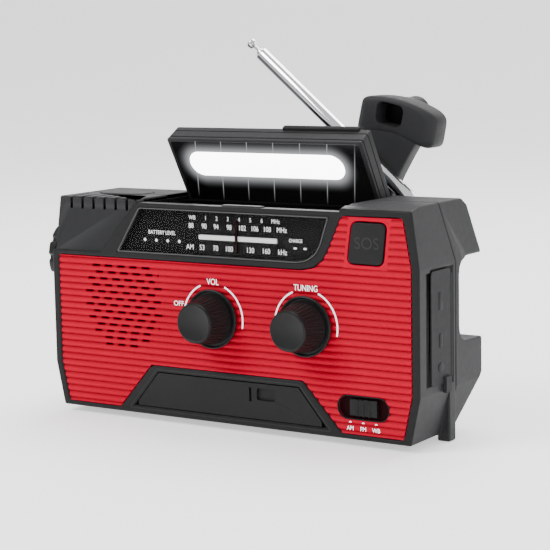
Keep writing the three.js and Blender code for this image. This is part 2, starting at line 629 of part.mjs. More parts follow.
function crankHub() {
  const { x, z } = CRANK;
  const disc = rod('y', x, z, 11, 34, 40, 32);
  const neck = rod('y', x, z, 6.4, 39, 49, 24);
  const tongue = box(x - 3, x + 3, 46, 56.5, z - 5, z + 5);
  const shaft = rod('y', x, z, 4, 24, 35, 20);
  const drive = box(x - 2, x + 2, 17, 25, z - 2, z + 2);
  const round = rod('x', CRANK.fold, z, 5, x - 3, x + 3, 24)
    .add(box(x - 3, x + 3, 46, CRANK.fold, z - 5, z + 5));
  return leaned(cut(union([disc, neck, tongue.intersect(round), shaft, drive]), [
    rod('x', CRANK.fold, z, 1.5, x - 8, x + 8, 16),
  ]));
}

const foldPin = () => leaned(rod('x', CRANK.fold, CRANK.z, 1.3, CRANK.x - 7.4, CRANK.x + 7.4, 16));

function crankArm() {
  const { x, z, arm0, arm1, fold } = CRANK;
  const fork = [[x - 7.6, x - 3.3], [x + 3.3, x + 7.6]].map(([a, b]) =>
    rod('x', fold, z, 3.5, a, b, 20).add(box(a, b, arm0, arm1, z, z + 13)));
  const blade = alongY([
    [x - 7.6, z + 8], [x + 7.6, z + 8], [x + 7.6, z + 14], [x + 4.2, z + 24], [x + 4.2, z + 42],
    [x + 12, z + 60], [x - 12, z + 60], [x - 4.2, z + 42], [x - 4.2, z + 24], [x - 7.6, z + 14],
  ], arm0, arm1);
  const crown = [...arc(x, z + 26, 46, 68, 109, 8)];
  const belly = [...arc(x, z + 12, 46.5, 109, 68, 8)];
  const head = alongY(rounded([...crown, ...belly], 2.2, 2), 49, 60);
  const pocket = alongY(roundRect(x - 2, z + 65.6, 11, 8, 2, 3), 40, 57.5);
  return leaned(cut(union([...fork, blade, head]), [
    pocket,
    box(x - 3.3, x + 3.3, 40, 70, z - 6, z + 7),
    rod('x', fold, z, 1.5, x - 8, x + 8, 16),
  ]).add(rod('y', x - 2, z + 65.6, 1.4, 58, 69.7, 16)));
}

function crankKnob() {
  const profile = [
    [1.7, 60.5], [5.4, 60.5], [6.2, 61.5], [5.6, 65], [6.2, 70], [5.4, 71.4], [0, 71.4], [0, 70],
    [1.7, 70], [1.7, 60.5],
  ];
  return leaned(turned(profile, 'y', [CRANK.x - 2, 0, CRANK.z + 65.6], 28));
}

/** A spur gear outline with narrow straight-sided teeth. */
function gearOutline(x, z, teeth, phase) {
  const pitch = (MODULE * teeth) / 2;
  const points = [];
  for (let i = 0; i < teeth; i += 1) {
    const middle = (2 * Math.PI * (i + phase)) / teeth;
    const corners = [
      [pitch - 1.25 * MODULE, -0.95], [pitch, -0.5], [pitch + 0.8 * MODULE, -0.24],
      [pitch + 0.8 * MODULE, 0.24], [pitch, 0.5], [pitch - 1.25 * MODULE, 0.95],
    ];
    for (const [r, along] of corners) {
      const a = middle + along / r;
      points.push([x + r * Math.cos(a), z + r * Math.sin(a)]);
    }
  }
  return points;
}

const driveGear = () => cut(alongY(gearOutline(CRANK.x, CRANK.z, 30, 0), 19, 22), [
  leaned(box(CRANK.x - 2.3, CRANK.x + 2.3, 10, 30, CRANK.z - 2.3, CRANK.z + 2.3)),
]);
const stepGear = () => alongY(gearOutline(IDLER_X, CRANK.z, 10, 0.5), 19, 22.4)
  .add(alongY(gearOutline(IDLER_X, CRANK.z, 30, 0), 22.3, 24.8))
  .subtract(rod('y', IDLER_X, CRANK.z, 1.5, 10, 30, 16));
const stepAxle = () => rod('y', IDLER_X, CRANK.z, 1.2, 14.6, 27.8, 16);
const generatorPinion = () => alongY(gearOutline(ROTOR_X, CRANK.z, 10, 0.5), 22.3, 24.8)
  .subtract(rod('y', ROTOR_X, CRANK.z, 1.3, 10, 30, 16));
const generator = () => rod('y', ROTOR_X, CRANK.z, 12, 14.8, 21.8, 32)
  .add(rod('y', ROTOR_X, CRANK.z, 1, 21, 26.2, 16));

// ---- the radio ----

const radio = new THREE.Group();

/** Add a solid to the radio as a named mesh with its own material. */
function add(name, shape, [color, roughness, metalness]) {
  const { numProp, vertProperties, triVerts } = shape.getMesh();
  const geometry = new THREE.BufferGeometry();
  geometry.setAttribute('position', new THREE.BufferAttribute(vertProperties, numProp));
  geometry.setIndex(new THREE.BufferAttribute(triVerts, 1));
  geometry.computeVertexNormals();
  const mesh = new THREE.Mesh(geometry, new THREE.MeshStandardMaterial({ color, roughness, metalness }));
  mesh.name = name;
  radio.add(mesh);
}

add('front_shell', frontShell(), CHARCOAL);
add('rear_shell', rearShell(), GREY);
add('front_panel', frontPanel(), RED);
add('lid_tray', lidTray(), BLACK);
add('battery_cover', batteryCover(), CHARCOAL);
add('battery_box', batteryBox(), BLACK);
add('contact_springs', contactSprings(), STEEL);
add('contact_plate', contactPlate(), STEEL);
add('port_cover', portCover(), RUBBER);
add('light_button', lightButton(), GREY);
add('sos_button', sosButton(), CHARCOAL);
add('band_slider', bandSlider(), CHARCOAL);
add('rubber_foot_left', foot(-1), RUBBER);
add('rubber_foot_right', foot(1), RUBBER);
SCREWS.forEach((at, i) => add(`case_screw_${i + 1}`, caseScrew(at), STEEL));
add('dial_window', dialWindow(), GLASS);
add('dial_plate', dialPlate(), BLACK);
add('dial_strip', dialStrip(), WHITE);
add('dial_pointer', dialPointer(), RED);
add('volume_knob', knob(VOLUME), CHARCOAL);
add('volume_pot', volumePot(), STEEL);
add('tuning_knob', knob(TUNING), CHARCOAL);
add('tuning_capacitor', tuningCapacitor(), WHITE);
add('band_switch', bandSwitch(), BLACK);
add('sos_switch', sosSwitch(), BLACK);
add('light_switch', lightSwitch(), BLACK);
add('main_board', mainBoard(), BOARD_GREEN);
add('speaker_frame', speakerFrame(), STEEL);
add('speaker_cone', speakerCone(), BLACK);
add('cell_pack', cellPack(), WHITE);
add('usb_a_socket', usbSocket(), STEEL);
add('usb_c_socket', usbCSocket(), STEEL);
add('earphone_jack', earphoneJack(), BLACK);
add('torch_bezel', torchBezel(), BLACK);
add('torch_lens', torchLens(), WHITE);
add('torch_reflector', torchReflector(), CHROME);
add('torch_lamp', torchLamp(), WHITE);
add('lid_shell', lidShell(), GREY);
add('lamp_panel', lampPanel(), BLACK);
add('lamp_diffuser', lampDiffuser(), WHITE);
add('lamp_board', lampBoard(), BOARD_GREEN);
add('solar_panel', solarPanel(), GLASS);
add('antenna_base', antennaBase(), BLACK);
add('antenna_pin', antennaPin(), STEEL);
add('antenna_tube', antennaTube(0), CHROME);
add('antenna_section_2', antennaTube(1), CHROME);
add('antenna_section_3', antennaTube(2), CHROME);
add('antenna_rod', antennaRod(), CHROME);
add('crank_hub', crankHub(), CHARCOAL);
add('crank_fold_pin', foldPin(), STEEL);
add('crank_arm', crankArm(), GREY);
add('crank_knob', crankKnob(), CHARCOAL);
add('drive_gear', driveGear(), WHITE);
add('step_gear', stepGear(), WHITE);
add('step_axle', stepAxle(), STEEL);
add('generator_pinion', generatorPinion(), BRASS);
add('generator', generator(), COPPER);

const bounds = new THREE.Box3().setFromObject(radio);
const centre = bounds.getCenter(new THREE.Vector3());
radio.position.set(-centre.x, -centre.y, -bounds.min.z);
const root = new THREE.Group();
root.add(radio);

export default root;
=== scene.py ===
# %% [markdown]
# A hand-crank emergency radio, built round its packed working model. The frame gives every body and
# joint, in metres: X to the right, Y from the front to the back, Z up. The looks are built piece by piece
# on top of it, and nothing in the frame is moved or resized.

import json
import math

import bmesh
import bpy
import numpy as np
from mathutils import Matrix, Vector


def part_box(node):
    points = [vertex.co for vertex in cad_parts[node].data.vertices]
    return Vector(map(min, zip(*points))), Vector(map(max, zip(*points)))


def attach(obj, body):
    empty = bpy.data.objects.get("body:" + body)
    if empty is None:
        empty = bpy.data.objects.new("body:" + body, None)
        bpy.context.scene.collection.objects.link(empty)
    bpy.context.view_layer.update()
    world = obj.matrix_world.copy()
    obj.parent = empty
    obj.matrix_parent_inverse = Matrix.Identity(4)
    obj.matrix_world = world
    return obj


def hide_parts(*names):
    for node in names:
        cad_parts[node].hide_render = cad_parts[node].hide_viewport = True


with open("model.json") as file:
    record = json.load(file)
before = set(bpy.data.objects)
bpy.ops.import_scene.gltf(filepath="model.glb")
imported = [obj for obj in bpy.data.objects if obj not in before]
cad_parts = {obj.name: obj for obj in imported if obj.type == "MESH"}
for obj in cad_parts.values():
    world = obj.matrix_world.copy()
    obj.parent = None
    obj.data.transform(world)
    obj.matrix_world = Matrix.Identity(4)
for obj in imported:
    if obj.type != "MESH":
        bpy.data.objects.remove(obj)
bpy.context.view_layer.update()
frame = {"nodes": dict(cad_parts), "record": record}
MM = 0.001

# %% [markdown]
# The design was drawn from the middle of the front bezel's bottom edge, so the same mark is found again
# from the front shell's own box. Every size below is then in plain millimetres from that mark.

# %% The drawing's mark
SHELL_LOW, SHELL_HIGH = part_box("front_shell")
FOOT = 2.5
MARK = np.array([(SHELL_LOW[0] + SHELL_HIGH[0]) / 2, SHELL_LOW[1], SHELL_LOW[2] + FOOT * MM])


def metres(points):
    """Millimetres from the mark become metres in the frame."""
    return np.asarray(points, float) * MM + MARK


def middle(node):
    """The middle of a node's box, in millimetres from the mark."""
    low, high = (np.array(corner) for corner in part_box(node))
    return ((low + high) / 2 - MARK) / MM


print("mark", MARK.round(5))

# %% [markdown]
# A skin is a grid of points: rings of points joined to the next ring by four-sided faces. Rings that
# close on themselves make tubes and plates, and a flat face over the first and last ring shuts the solid.

# %% Skins
PIECES = {}


def finish_mesh(name, mesh, material, body, node=None, sharp=32):
    """Smooth the mesh except over sharp edges, and let it ride on a body in place of a node."""
    mesh.polygons.foreach_set("use_smooth", np.ones(len(mesh.polygons), bool))
    mesh.set_sharp_from_angle(angle=math.radians(sharp))
    piece = bpy.data.objects.new(name, mesh)
    bpy.context.collection.objects.link(piece)
    piece.data.materials.append(material)
    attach(piece, body)
    if node:
        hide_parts(*np.atleast_1d(node).tolist())
    PIECES[name] = piece
    return piece


def weld(mesh):
    """Join points that lie on each other, and turn a closed solid's faces outwards."""
    work = bmesh.new()
    work.from_mesh(mesh)
    bmesh.ops.remove_doubles(work, verts=work.verts, dist=2e-7)
    bmesh.ops.recalc_face_normals(work, faces=work.faces)
    work.to_mesh(mesh)
    work.free()


def skin(rings, closed=True, caps=True, loop=False):
    """Rings of points (rings, points, 3) in millimetres become a mesh of four-sided faces."""
    count, around = rings.shape[:2]
    index = np.arange(count * around).reshape(count, around)
    if loop:
        index = np.vstack([index, index[:1]])
    if closed:
        index = np.hstack([index, index[:, :1]])
    faces = np.stack([index[:-1, :-1], index[:-1, 1:], index[1:, 1:], index[1:, :-1]], -1)
    polygons = faces.reshape(-1, 4).tolist()
    if caps and not loop:
        polygons += [index[0, :around].tolist(), index[-1, :around].tolist()]
    mesh = bpy.data.meshes.new("skin")
    mesh.from_pydata(metres(rings.reshape(-1, 3)).tolist(), [], polygons)
    weld(mesh)
    return mesh


SLOT_OF = {part["node"]: part["material_slot"] for part in frame["record"]["subparts"]}
print("slots", sorted(set(SLOT_OF.values())))

# %% [markdown]
# Most moulded parts are a flat outline given a depth and a soft edge. The outline is moved in a little at
# each step of depth, which is a quarter circle when the steps follow a sine and a cosine.

# %% Outlines and plates


def rounded(outline, radius, steps=6):
    """Each corner becomes a quadratic curve that leaves and rejoins its sides a radius away."""
    p = np.asarray(outline, float)
    before, after = np.roll(p, 1, 0) - p, np.roll(p, -1, 0) - p
    reach_before = np.linalg.norm(before, axis=1, keepdims=True)
    reach_after = np.linalg.norm(after, axis=1, keepdims=True)
    reach = np.minimum(radius, np.minimum(reach_before, reach_after) / 2.05)
    a = (p + before / reach_before * reach)[:, None]
    b = (p + after / reach_after * reach)[:, None]
    t = np.linspace(0, 1, steps)[None, :, None]
    return ((1 - t) ** 2 * a + 2 * t * (1 - t) * p[:, None] + t**2 * b).reshape(-1, 2)


def moved_in(outline, distance):
    """Every side of a closed outline moves in by the distance, and corners stay mitred."""
    p = np.asarray(outline, float)
    a, b = p - np.roll(p, 1, 0), np.roll(p, -1, 0) - p
    a /= np.linalg.norm(a, axis=1, keepdims=True)
    b /= np.linalg.norm(b, axis=1, keepdims=True)
    q = np.roll(p, -1, 0)
    side = np.sign(np.sum(p[:, 0] * q[:, 1] - q[:, 0] * p[:, 1])) * distance
    across = side / (1 + np.sum(a * b, axis=1))
    return p + across[:, None] * np.c_[-(a + b)[:, 1], (a + b)[:, 0]]


def round_rect(u, v, width, height, radius, steps=8):
    """A rectangle about (u, v) whose corners are quarter circles."""
    turn = np.radians(np.add.outer([-90, 0, 90, 180], np.linspace(0, 90, steps)))
    su, sv = np.array([1, 1, -1, -1]), np.array([-1, 1, 1, -1])
    x = u + su[:, None] * (width / 2 - radius) + radius * np.cos(turn)
    y = v + sv[:, None] * (height / 2 - radius) + radius * np.sin(turn)
    return np.c_[x.ravel(), y.ravel()]


def soft_edge(front, back, radius, steps=5, both=False):
    """(depth, inset) steps from the front to the back, with a quarter circle at the front edge."""
    turn = np.linspace(0, math.pi / 2, steps)
    sign = np.sign(back - front)
    first = np.c_[front + sign * radius * (1 - np.sin(turn)), radius * (1 - np.cos(turn))][::-1]
    last = np.array([[back, 0.0]])
    if both:
        last = np.c_[back - sign * radius * (1 - np.sin(turn)), radius * (1 - np.cos(turn))]
    return np.vstack([first, last])


def plate(outline, profile, axes="xyz"):
    """An outline in (u, v) carried through (depth, inset, shrink) steps.

    The three letters of axes are the frame's axes that u, depth and v run along.
    """
    centre = np.mean(outline, axis=0)
    rings = []
    for depth, into, *shrink in profile:
        u, v = (centre + (moved_in(outline, into) - centre) * (shrink or [1])[0]).T
        rings.append(np.c_[u, np.full(len(u), depth), v])
    rings = np.array(rings)
    order = [axes.index(axis) for axis in "xyz"]
    return skin(rings[..., order])


print("helpers ready")

# %% [markdown]
# Knobs, tubes, rings and lenses are turned: a profile of radius and distance goes round an axis. A
# function of the angle can push the radius in and out, which gives knurls and scallops in the same step.

# %% Turned solids


def turned(profile, axis, centre, sides=96, wave=None, loop=False):
    """A profile of (radius, along) goes round an axis; wave(angle, along) scales each radius."""
    profile = np.asarray(profile, float)
    angle = np.linspace(0, 2 * math.pi, sides, endpoint=False)
    radius, along = profile[:, :1], profile[:, 1:]
    if wave:
        radius = radius * wave(angle[None], along)
    a, b = radius * np.cos(angle), radius * np.sin(angle)
    h = np.broadcast_to(along, a.shape)
    stack = {"x": (h, a, b), "y": (a, h, b), "z": (a, b, h)}[axis]
    return skin(np.stack(stack, -1) + np.asarray(centre, float), caps=False, loop=loop)


def turn_about(mesh, point, angle, axis):
    """Turn a mesh about an axis through a point, which is in millimetres from the mark."""
    pivot = Vector(metres(point))
    mesh.transform(Matrix.Translation(pivot) @ Matrix.Rotation(angle, 4, axis) @ Matrix.Translation(-pivot))
    return mesh


def eased(points, steps=6):
    """Corners of an open profile are rounded by short curves, and its ends stay where they are."""
    p = np.asarray(points, float)
    t = np.linspace(0, 1, steps)[None, :, None]
    a, b = (p[:-2] + p[1:-1] * 2) / 3, (p[2:] + p[1:-1] * 2) / 3
    curve = (1 - t) ** 2 * a[:, None] + 2 * t * (1 - t) * p[1:-1, None] + t**2 * b[:, None]
    return np.vstack([p[:1], curve.reshape(-1, 2), p[-1:]])


# %% [markdown]
# The two shells have ports, bosses and grooves that are already right in the working model, but every
# edge is knife sharp. A copy is welded, its flat faces are made whole again, and a bevel rounds the edges
# that can be seen and are long enough to carry it, as a mould tool's radius would.

# %% Softened copies
SHARP = math.radians(28)


def softened(name, node, material, body, width, shortest=1.0, hidden=(), clamp=True):
    """A copy of a node with whole flat faces and rounded edges.

    Sharp edges of at least the shortest length get a bevel weight, in millimetres like the width.
    Those whose middle lies within a hidden box, as (low, high) from the mark, stay sharp.
    """
    mesh = frame["nodes"][node].data.copy()
    work = bmesh.new()
    work.from_mesh(mesh)
    bmesh.ops.remove_doubles(work, verts=work.verts, dist=2e-6)
    bmesh.ops.dissolve_limit(work, angle_limit=math.radians(1.5), verts=work.verts, edges=work.edges)
    work.to_mesh(mesh)
    weight = np.array([
        edge.calc_face_angle(0) > SHARP and edge.calc_length() > shortest * MM for edge in work.edges
    ], float)
    work.free()
    if hidden:
        points = np.empty(len(mesh.vertices) * 3)
        mesh.vertices.foreach_get("co", points)
        ends = np.empty(len(mesh.edges) * 2, int)
        mesh.edges.foreach_get("vertices", ends)
        mid = (points.reshape(-1, 3)[ends.reshape(-1, 2)].mean(1) - MARK) / MM
        for low, high in hidden:
            weight *= ~np.all((mid > low) & (mid < high), axis=1)
    mesh.attributes.new("bevel_weight_edge", "FLOAT", "EDGE").data.foreach_set("value", weight)
    mesh.materials.clear()
    piece = finish_mesh(name, mesh, material, body, node, sharp=28)
    bevel = piece.modifiers.new("mould radius", "BEVEL")
    bevel.width = width * MM
    bevel.segments = 3
    bevel.limit_method = "WEIGHT"
    bevel.use_clamp_overlap = clamp
    bevel.harden_normals = True
    return piece


# %% [markdown]
# Shader maths reads best as arithmetic. A small class wraps a socket, and its operators add the Math
# nodes, so a mask can be written as 1 - depth * 3. Any other node comes from one method that takes its
# type, its settings and its inputs.

# %% Shader arithmetic


class Wire:
    """A node socket that does arithmetic."""

    def __init__(self, tree, socket):
        self.tree, self.socket = tree, socket

    def math(self, operation, *values):
        return self.tree.node("ShaderNodeMath", {"operation": operation}, self, *values)

    def __add__(self, other):
        return self.math("ADD", other)

    def __mul__(self, other):
        return self.math("MULTIPLY", other)

    def __sub__(self, other):
        return self.math("SUBTRACT", other)

    def __rsub__(self, other):
        return (self * -1) + other

    __radd__ = __add__
    __rmul__ = __mul__

    def power(self, other):
        return self.math("POWER", other)

    def between(self, low, high):
        """0 at low, 1 at high, straight in between."""
        return self.tree.node("ShaderNodeMapRange", {"clamp": True}, self, low, high, 0.0, 1.0)


class Finish:
    """A material with one Principled shader."""

    def __init__(self, name, color, roughness=0.5, metallic=0.0, **extra):
        self.material = bpy.data.materials.new(name)
        self.material.use_nodes = True
        self.nodes = self.material.node_tree.nodes
        self.links = self.material.node_tree.links
        self.shader = self.nodes["Principled BSDF"]
        self.set(**{"Base Color": (*color, 1), "Roughness": roughness, "Metallic": metallic, **extra})

    def set(self, **inputs):
        for key, value in inputs.items():
            self.join(self.shader.inputs[key], value)

    def join(self, socket, value):
        if isinstance(value, Wire):
            self.links.new(value.socket, socket)
        elif value is not None:
            socket.default_value = value

    def node(self, kind, settings=None, *values, out=0, **named):
        made = self.nodes.new(kind)
        for key, value in (settings or {}).items():
            setattr(made, key, value)
        for socket, value in zip(made.inputs, values):
            self.join(socket, value)
        for key, value in named.items():
            self.join(made.inputs[key.replace("_", " ")], value)
        return Wire(self, made.outputs[out])

    def place(self):
        """Object coordinates in metres."""
        return self.node("ShaderNodeTexCoord", None, out=3)

    def parts(self, vector):
        made = self.nodes.new("ShaderNodeSeparateXYZ")
        self.join(made.inputs[0], vector)
        return [Wire(self, socket) for socket in made.outputs]

    def noise(self, scale, detail=2.0, rough=0.5):
        """Cloudy noise from 0 to 1, with the scale in waves to the metre."""
        settings = {"Vector": self.place(), "Scale": scale, "Detail": detail, "Roughness": rough}
        return self.node("ShaderNodeTexNoise", **settings)

    def mix(self, factor, a, b):
        """Between two colours."""
        made = self.nodes.new("ShaderNodeMix")
        made.data_type = "RGBA"
        for socket, value in ((made.inputs[0], factor), (made.inputs[6], a), (made.inputs[7], b)):
            self.join(socket, (*value, 1) if isinstance(value, tuple) else value)
        return Wire(self, made.outputs[2])

    def bump(self, height, strength, distance):
        return self.node("ShaderNodeBump", None, Height=height, Strength=strength, Distance=distance)


def moulded(name, color, roughness=0.55, grain=0.35, patch=0.12, shine=0.16):
    """Moulded plastic: a spark-eroded grain a third of a millimetre across, and faint cloudy wear."""
    f = Finish(name, color, roughness, **{"Specular IOR Level": shine})
    light = tuple(min(1.0, c * (1 + patch) + 0.004) for c in color)
    dark = tuple(c * (1 - patch) for c in color)
    cloud = f.noise(38.0, 3.0, 0.6)
    f.set(**{"Base Color": f.mix(cloud, dark, light)})
    f.set(Roughness=f.noise(420.0, 2.0, 0.5) * 0.16 + (roughness - 0.08))
    f.set(Normal=f.bump(f.noise(3200.0, 2.0, 0.6), grain, 0.00005))
    return f.material


CHARCOAL = moulded("charcoal plastic", (0.0062, 0.0064, 0.0066), 0.5)
GREY = moulded("grey plastic", (0.018, 0.0185, 0.0193), 0.52, 0.5)
KNOB = moulded("knob plastic", (0.0055, 0.0057, 0.006), 0.4, 0.2)
BLACK = moulded("black plastic", (0.0015, 0.0015, 0.0017), 0.3, 0.05, shine=0.06)
RUBBER = moulded("rubber", (0.017, 0.0175, 0.0182), 0.66, 0.5)


def casing_plastic():
    """The front casing: grey like the rear, but for the band that faces forward, which is darker."""
    f = Finish("casing plastic", (0.018, 0.0185, 0.0193), 0.5, **{"Specular IOR Level": 0.16})
    back = f.parts(f.place())[1] - float(MARK[1])
    band = 1 - back.between(0.0003, 0.0006)
    grey = f.mix(f.noise(38.0, 3.0, 0.6), (0.016, 0.0164, 0.0172), (0.0205, 0.021, 0.0218))
    f.set(**{"Base Color": f.mix(band, grey, (0.0075, 0.0077, 0.008))})
    f.set(Roughness=f.noise(420.0) * 0.16 + 0.42)
    f.set(Normal=f.bump(f.noise(3200.0, 2.0, 0.6), 0.4, 0.00005))
    return f.material


CASING = casing_plastic()
print("plastics made")

# %% [markdown]
# The front panel's red is one moulding. Its grooves are given painted shade, so the colour is painted
# darker with depth, and the speaker slots are painted black as the shade inside them. Depth is read from
# how far back a point lies, which costs one subtraction.

# %% Red plastic
PANEL_Y = 0.15


def red_plastic():
    f = Finish("red plastic", (0.6, 0.002, 0.008), 0.42, **{"Specular IOR Level": 0.03})
    depth = f.parts(f.place())[1] - float(MARK[1] + PANEL_Y * MM)
    # painted shade: the red is painted darker with depth into the grooves
    groove = depth.between(0.00005, 0.00085)
    # painted shade: the speaker slots are painted black
    slot = depth.between(0.0010, 0.0013)
    cloud = f.noise(30.0, 3.0)
    crest = f.mix(cloud, (0.40, 0.0, 0.018), (0.46, 0.0, 0.022))
    red = f.mix(groove, crest, (0.19, 0.0, 0.006))
    f.set(**{"Base Color": f.mix(slot, red, (0.012, 0.001, 0.002))})
    f.set(Roughness=f.noise(500.0, 2.0) * 0.14 + 0.36)
    f.set(Normal=f.bump(f.noise(2600.0, 2.0), 0.2, 0.00004))
    return f.material


RED = red_plastic()

# %% [markdown]
# Metal needs little colour and much reflection. Steel, brass and copper differ only in tint and polish.
# Chrome on a drawn tube mirrors what is round it, so one dark band painted along its lower side is a
# painted reflection of the dark casing.

# %% Metals and clear parts


def metal(name, color, roughness):
    """Plain metal: a fine change of polish and a slow change of tint."""
    f = Finish(name, color, roughness, 1.0)
    f.set(Roughness=f.noise(900.0, 2.0, 0.5) * 0.1 + (roughness - 0.03))
    f.set(**{"Base Color": f.mix(f.noise(60.0), tuple(0.9 * c for c in color), color)})
    return f.material


def chrome():
    """Polished tube: a dark band is painted along its lower side, a painted reflection of the dark casing.
    """
    f = Finish("chrome", (0.83, 0.84, 0.86), 0.07, 1.0)
    nx, _, nz = f.parts(f.node("ShaderNodeNewGeometry", None, out=1))
    lean = nx * 0.64 + nz * 0.77
    # painted reflection: a dark band on the tube's lower side, where it would mirror the casing
    band = lean.between(-0.85, -0.7) * (1 - lean.between(-0.2, -0.05))
    f.set(**{"Base Color": f.mix(band, (0.86, 0.87, 0.89), (0.035, 0.036, 0.04))})
    f.set(Roughness=f.noise(900.0) * 0.06 + 0.05)
    return f.material


CHROME = chrome()
STEEL = metal("steel", (0.5, 0.51, 0.53), 0.3)
BRASS = metal("brass", (0.6, 0.42, 0.16), 0.3)
COPPER = metal("copper", (0.6, 0.26, 0.12), 0.35)


def clear():
    """The torch's lens: clear plastic with a faint change of polish."""
    f = Finish("clear acrylic", (0.96, 0.97, 0.98), 0.02, **{"Transmission Weight": 1.0, "IOR": 1.46})
    f.set(Roughness=f.noise(260.0) * 0.02 + 0.02)
    return f.material


GLASS = clear()


def coated():
    """The dial's window: a thin gloss and little else, so that the print behind stays black and white."""
    f = Finish("coated acrylic", (0.0, 0.0, 0.0), 0.05, **{"Specular IOR Level": 0.3})
    f.set(Alpha=f.noise(40.0) * 0.02 + 0.1)
    return f.material


WINDOW = coated()

# %% [markdown]
# The lamp glows through a white diffuser, with a faintly cloudy tint. White print gives off a little
# light of its own, which keeps thin letters readable behind the dial's window. The solar cells are
# stripes worked out from X, which stay sharp at any distance.

# %% Light, print and the inner parts


def glowing(name, color, strength):
    """A diffuser lit from behind."""
    f = Finish(name, (0.95, 0.96, 0.97), 0.35)
    f.set(**{"Emission Color": f.mix(f.noise(90.0), color, (1.0, 1.0, 1.0)), "Emission Strength": strength})
    return f.material


def printed(name, color, glow=0.0):
    """Ink with a light of its own."""
    f = Finish(name, color, 0.5, **{"Emission Strength": glow, "Specular IOR Level": 0.1})
    f.set(**{"Base Color": f.mix(f.noise(900.0), tuple(0.86 * c for c in color), color)})
    f.set(**{"Emission Color": (*color, 1)})
    return f.material


LIT = glowing("lit diffuser", (0.97, 0.99, 1.0), 9.0)
PRINT = printed("white print", (0.92, 0.93, 0.94), 0.8)
TRIM = printed("trim line", (0.09, 0.09, 0.092))
STRIP = printed("dial strip", (0.8, 0.8, 0.78), 0.5)
WHITE = moulded("white plastic", (0.75, 0.75, 0.74), 0.45, 0.15, 0.04)
BOARD = moulded("circuit board", (0.012, 0.13, 0.04), 0.3, 0.1)


def solar():
    """Dark blue cells under resin, with thin silver fingers every two millimetres."""
    f = Finish("solar cell", (0.006, 0.01, 0.03), 0.12, **{"Coat Weight": 0.6, "Coat Roughness": 0.05})
    x = f.parts(f.place())[0]
    finger = x.math("PINGPONG", 0.001).between(0.00012, 0.00006)
    cell = x.math("PINGPONG", 0.0058).between(0.0003, 0.0002)
    blue = f.mix(f.noise(70.0), (0.004, 0.007, 0.02), (0.01, 0.018, 0.06))
    f.set(**{"Base Color": f.mix(finger.math("MAXIMUM", cell), blue, (0.35, 0.36, 0.38))})
    return f.material


SOLAR = solar()
SLOT_FINISH = {
    "charcoal_plastic": CHARCOAL, "grey_plastic": GREY, "red_plastic": RED, "black_plastic": BLACK,
    "rubber": RUBBER, "steel": STEEL, "chrome": CHROME, "glass": GLASS, "white_plastic": WHITE,
    "board": BOARD, "brass": BRASS, "copper": COPPER, "solar": SOLAR,
}
for node, thing in frame["nodes"].items():
    thing.data.materials.clear()
    thing.data.materials.append(SLOT_FINISH[SLOT_OF[node]])
print("finishes on", len(frame["nodes"]), "nodes")

# %% [markdown]
# The two halves of the casing meet on a seam that stands upright low down and leans forward above the
# bend. Both keep their working shape and gain a moulded radius.

# %% Casing shells
INSIDE_FRONT = [((-77.5, 0.5, 2), (77.5, 60, 79)), ((-39, 0.5, 79), (51, 24, 80.6))]
INSIDE_REAR = [((-77.5, 10, 2), (77.5, 45, 79))]
softened("front_casing", "front_shell", CASING, "casing", 0.7, 1.2, INSIDE_FRONT, False)
softened("rear_casing", "rear_shell", GREY, "casing", 0.8, 1.2, INSIDE_REAR, False)
softened("tray_lining", "lid_tray", BLACK, "casing", 0.3)
print("shells", [len(PIECES[n].data.polygons) for n in ("front_casing", "rear_casing")])

# %% [markdown]
# The red panel is a height field. Over every point of a grid in X and Z the surface lies back by a rounded
# rib, by a flat round the emergency key, and by a pit at each speaker slot and under each part that passes
# through. The grid is finer over the speaker, and each row ends at the outline's own left and right.

# %% The ribbed panel
RIB = 2.5
RIB_START = 0.4
SPEAKER = middle("speaker_cone")
SPEAKER_R = 17.5
BAND = middle("band_slider")
SOS = np.array([[52, 62.3], [65.8, 62.1], [67.4, 76.6], [54, 76.8]])
SLOT_PITCH, SLOT_LENGTH = 5.8, 3.4
SLOT_ROWS = (10, 22)
PIT = 1.9
PANEL_FOOT, COVER_TOP, DIAL_FOOT, PANEL_TOP = 2, 19.2, 58.7, 78.5


def inside(outline, x, z, soft):
    """1 inside a convex outline and 0 outside, with a soft border, from the nearest side's distance."""
    near = np.full(np.broadcast(x, z).shape, 1e9)
    for a, b in zip(outline, np.roll(outline, -1, 0)):
        d = (b - a) / np.linalg.norm(b - a)
        near = np.minimum(near, (x - a[0]) * -d[1] + (z - a[1]) * d[0])
    return np.clip(near / soft + 0.5, 0, 1)


def slot_mask(x, z):
    """1 in the short slots that lie in the grooves in front of the speaker, in staggered rows."""
    row = np.round((z - RIB_START) / RIB)
    groove = RIB_START + RIB * row
    half = np.sqrt(np.maximum(SPEAKER_R**2 - (groove - SPEAKER[2]) ** 2 * 0.75, 0)) + 1.5
    first = SPEAKER[0] - half + np.where((row - SLOT_ROWS[0]) % 2 == 1, SLOT_PITCH / 2, 0)
    run = x - first
    dash = (run % SLOT_PITCH < SLOT_LENGTH) & (run > 0) & (run < 2 * half - 4)
    dash &= (row >= SLOT_ROWS[0]) & (row <= SLOT_ROWS[1])
    return (dash & (np.abs(z - groove) < 0.36)).astype(float)


def stadium_mask(x, z, centre, width, height):
    """1 inside a round-ended slot and 0 outside."""
    along = np.maximum(np.abs(x - centre[0]) - (width - height) / 2, 0)
    return np.clip((height / 2 - np.hypot(along, z - centre[2])) / 0.3 + 0.5, 0, 1)


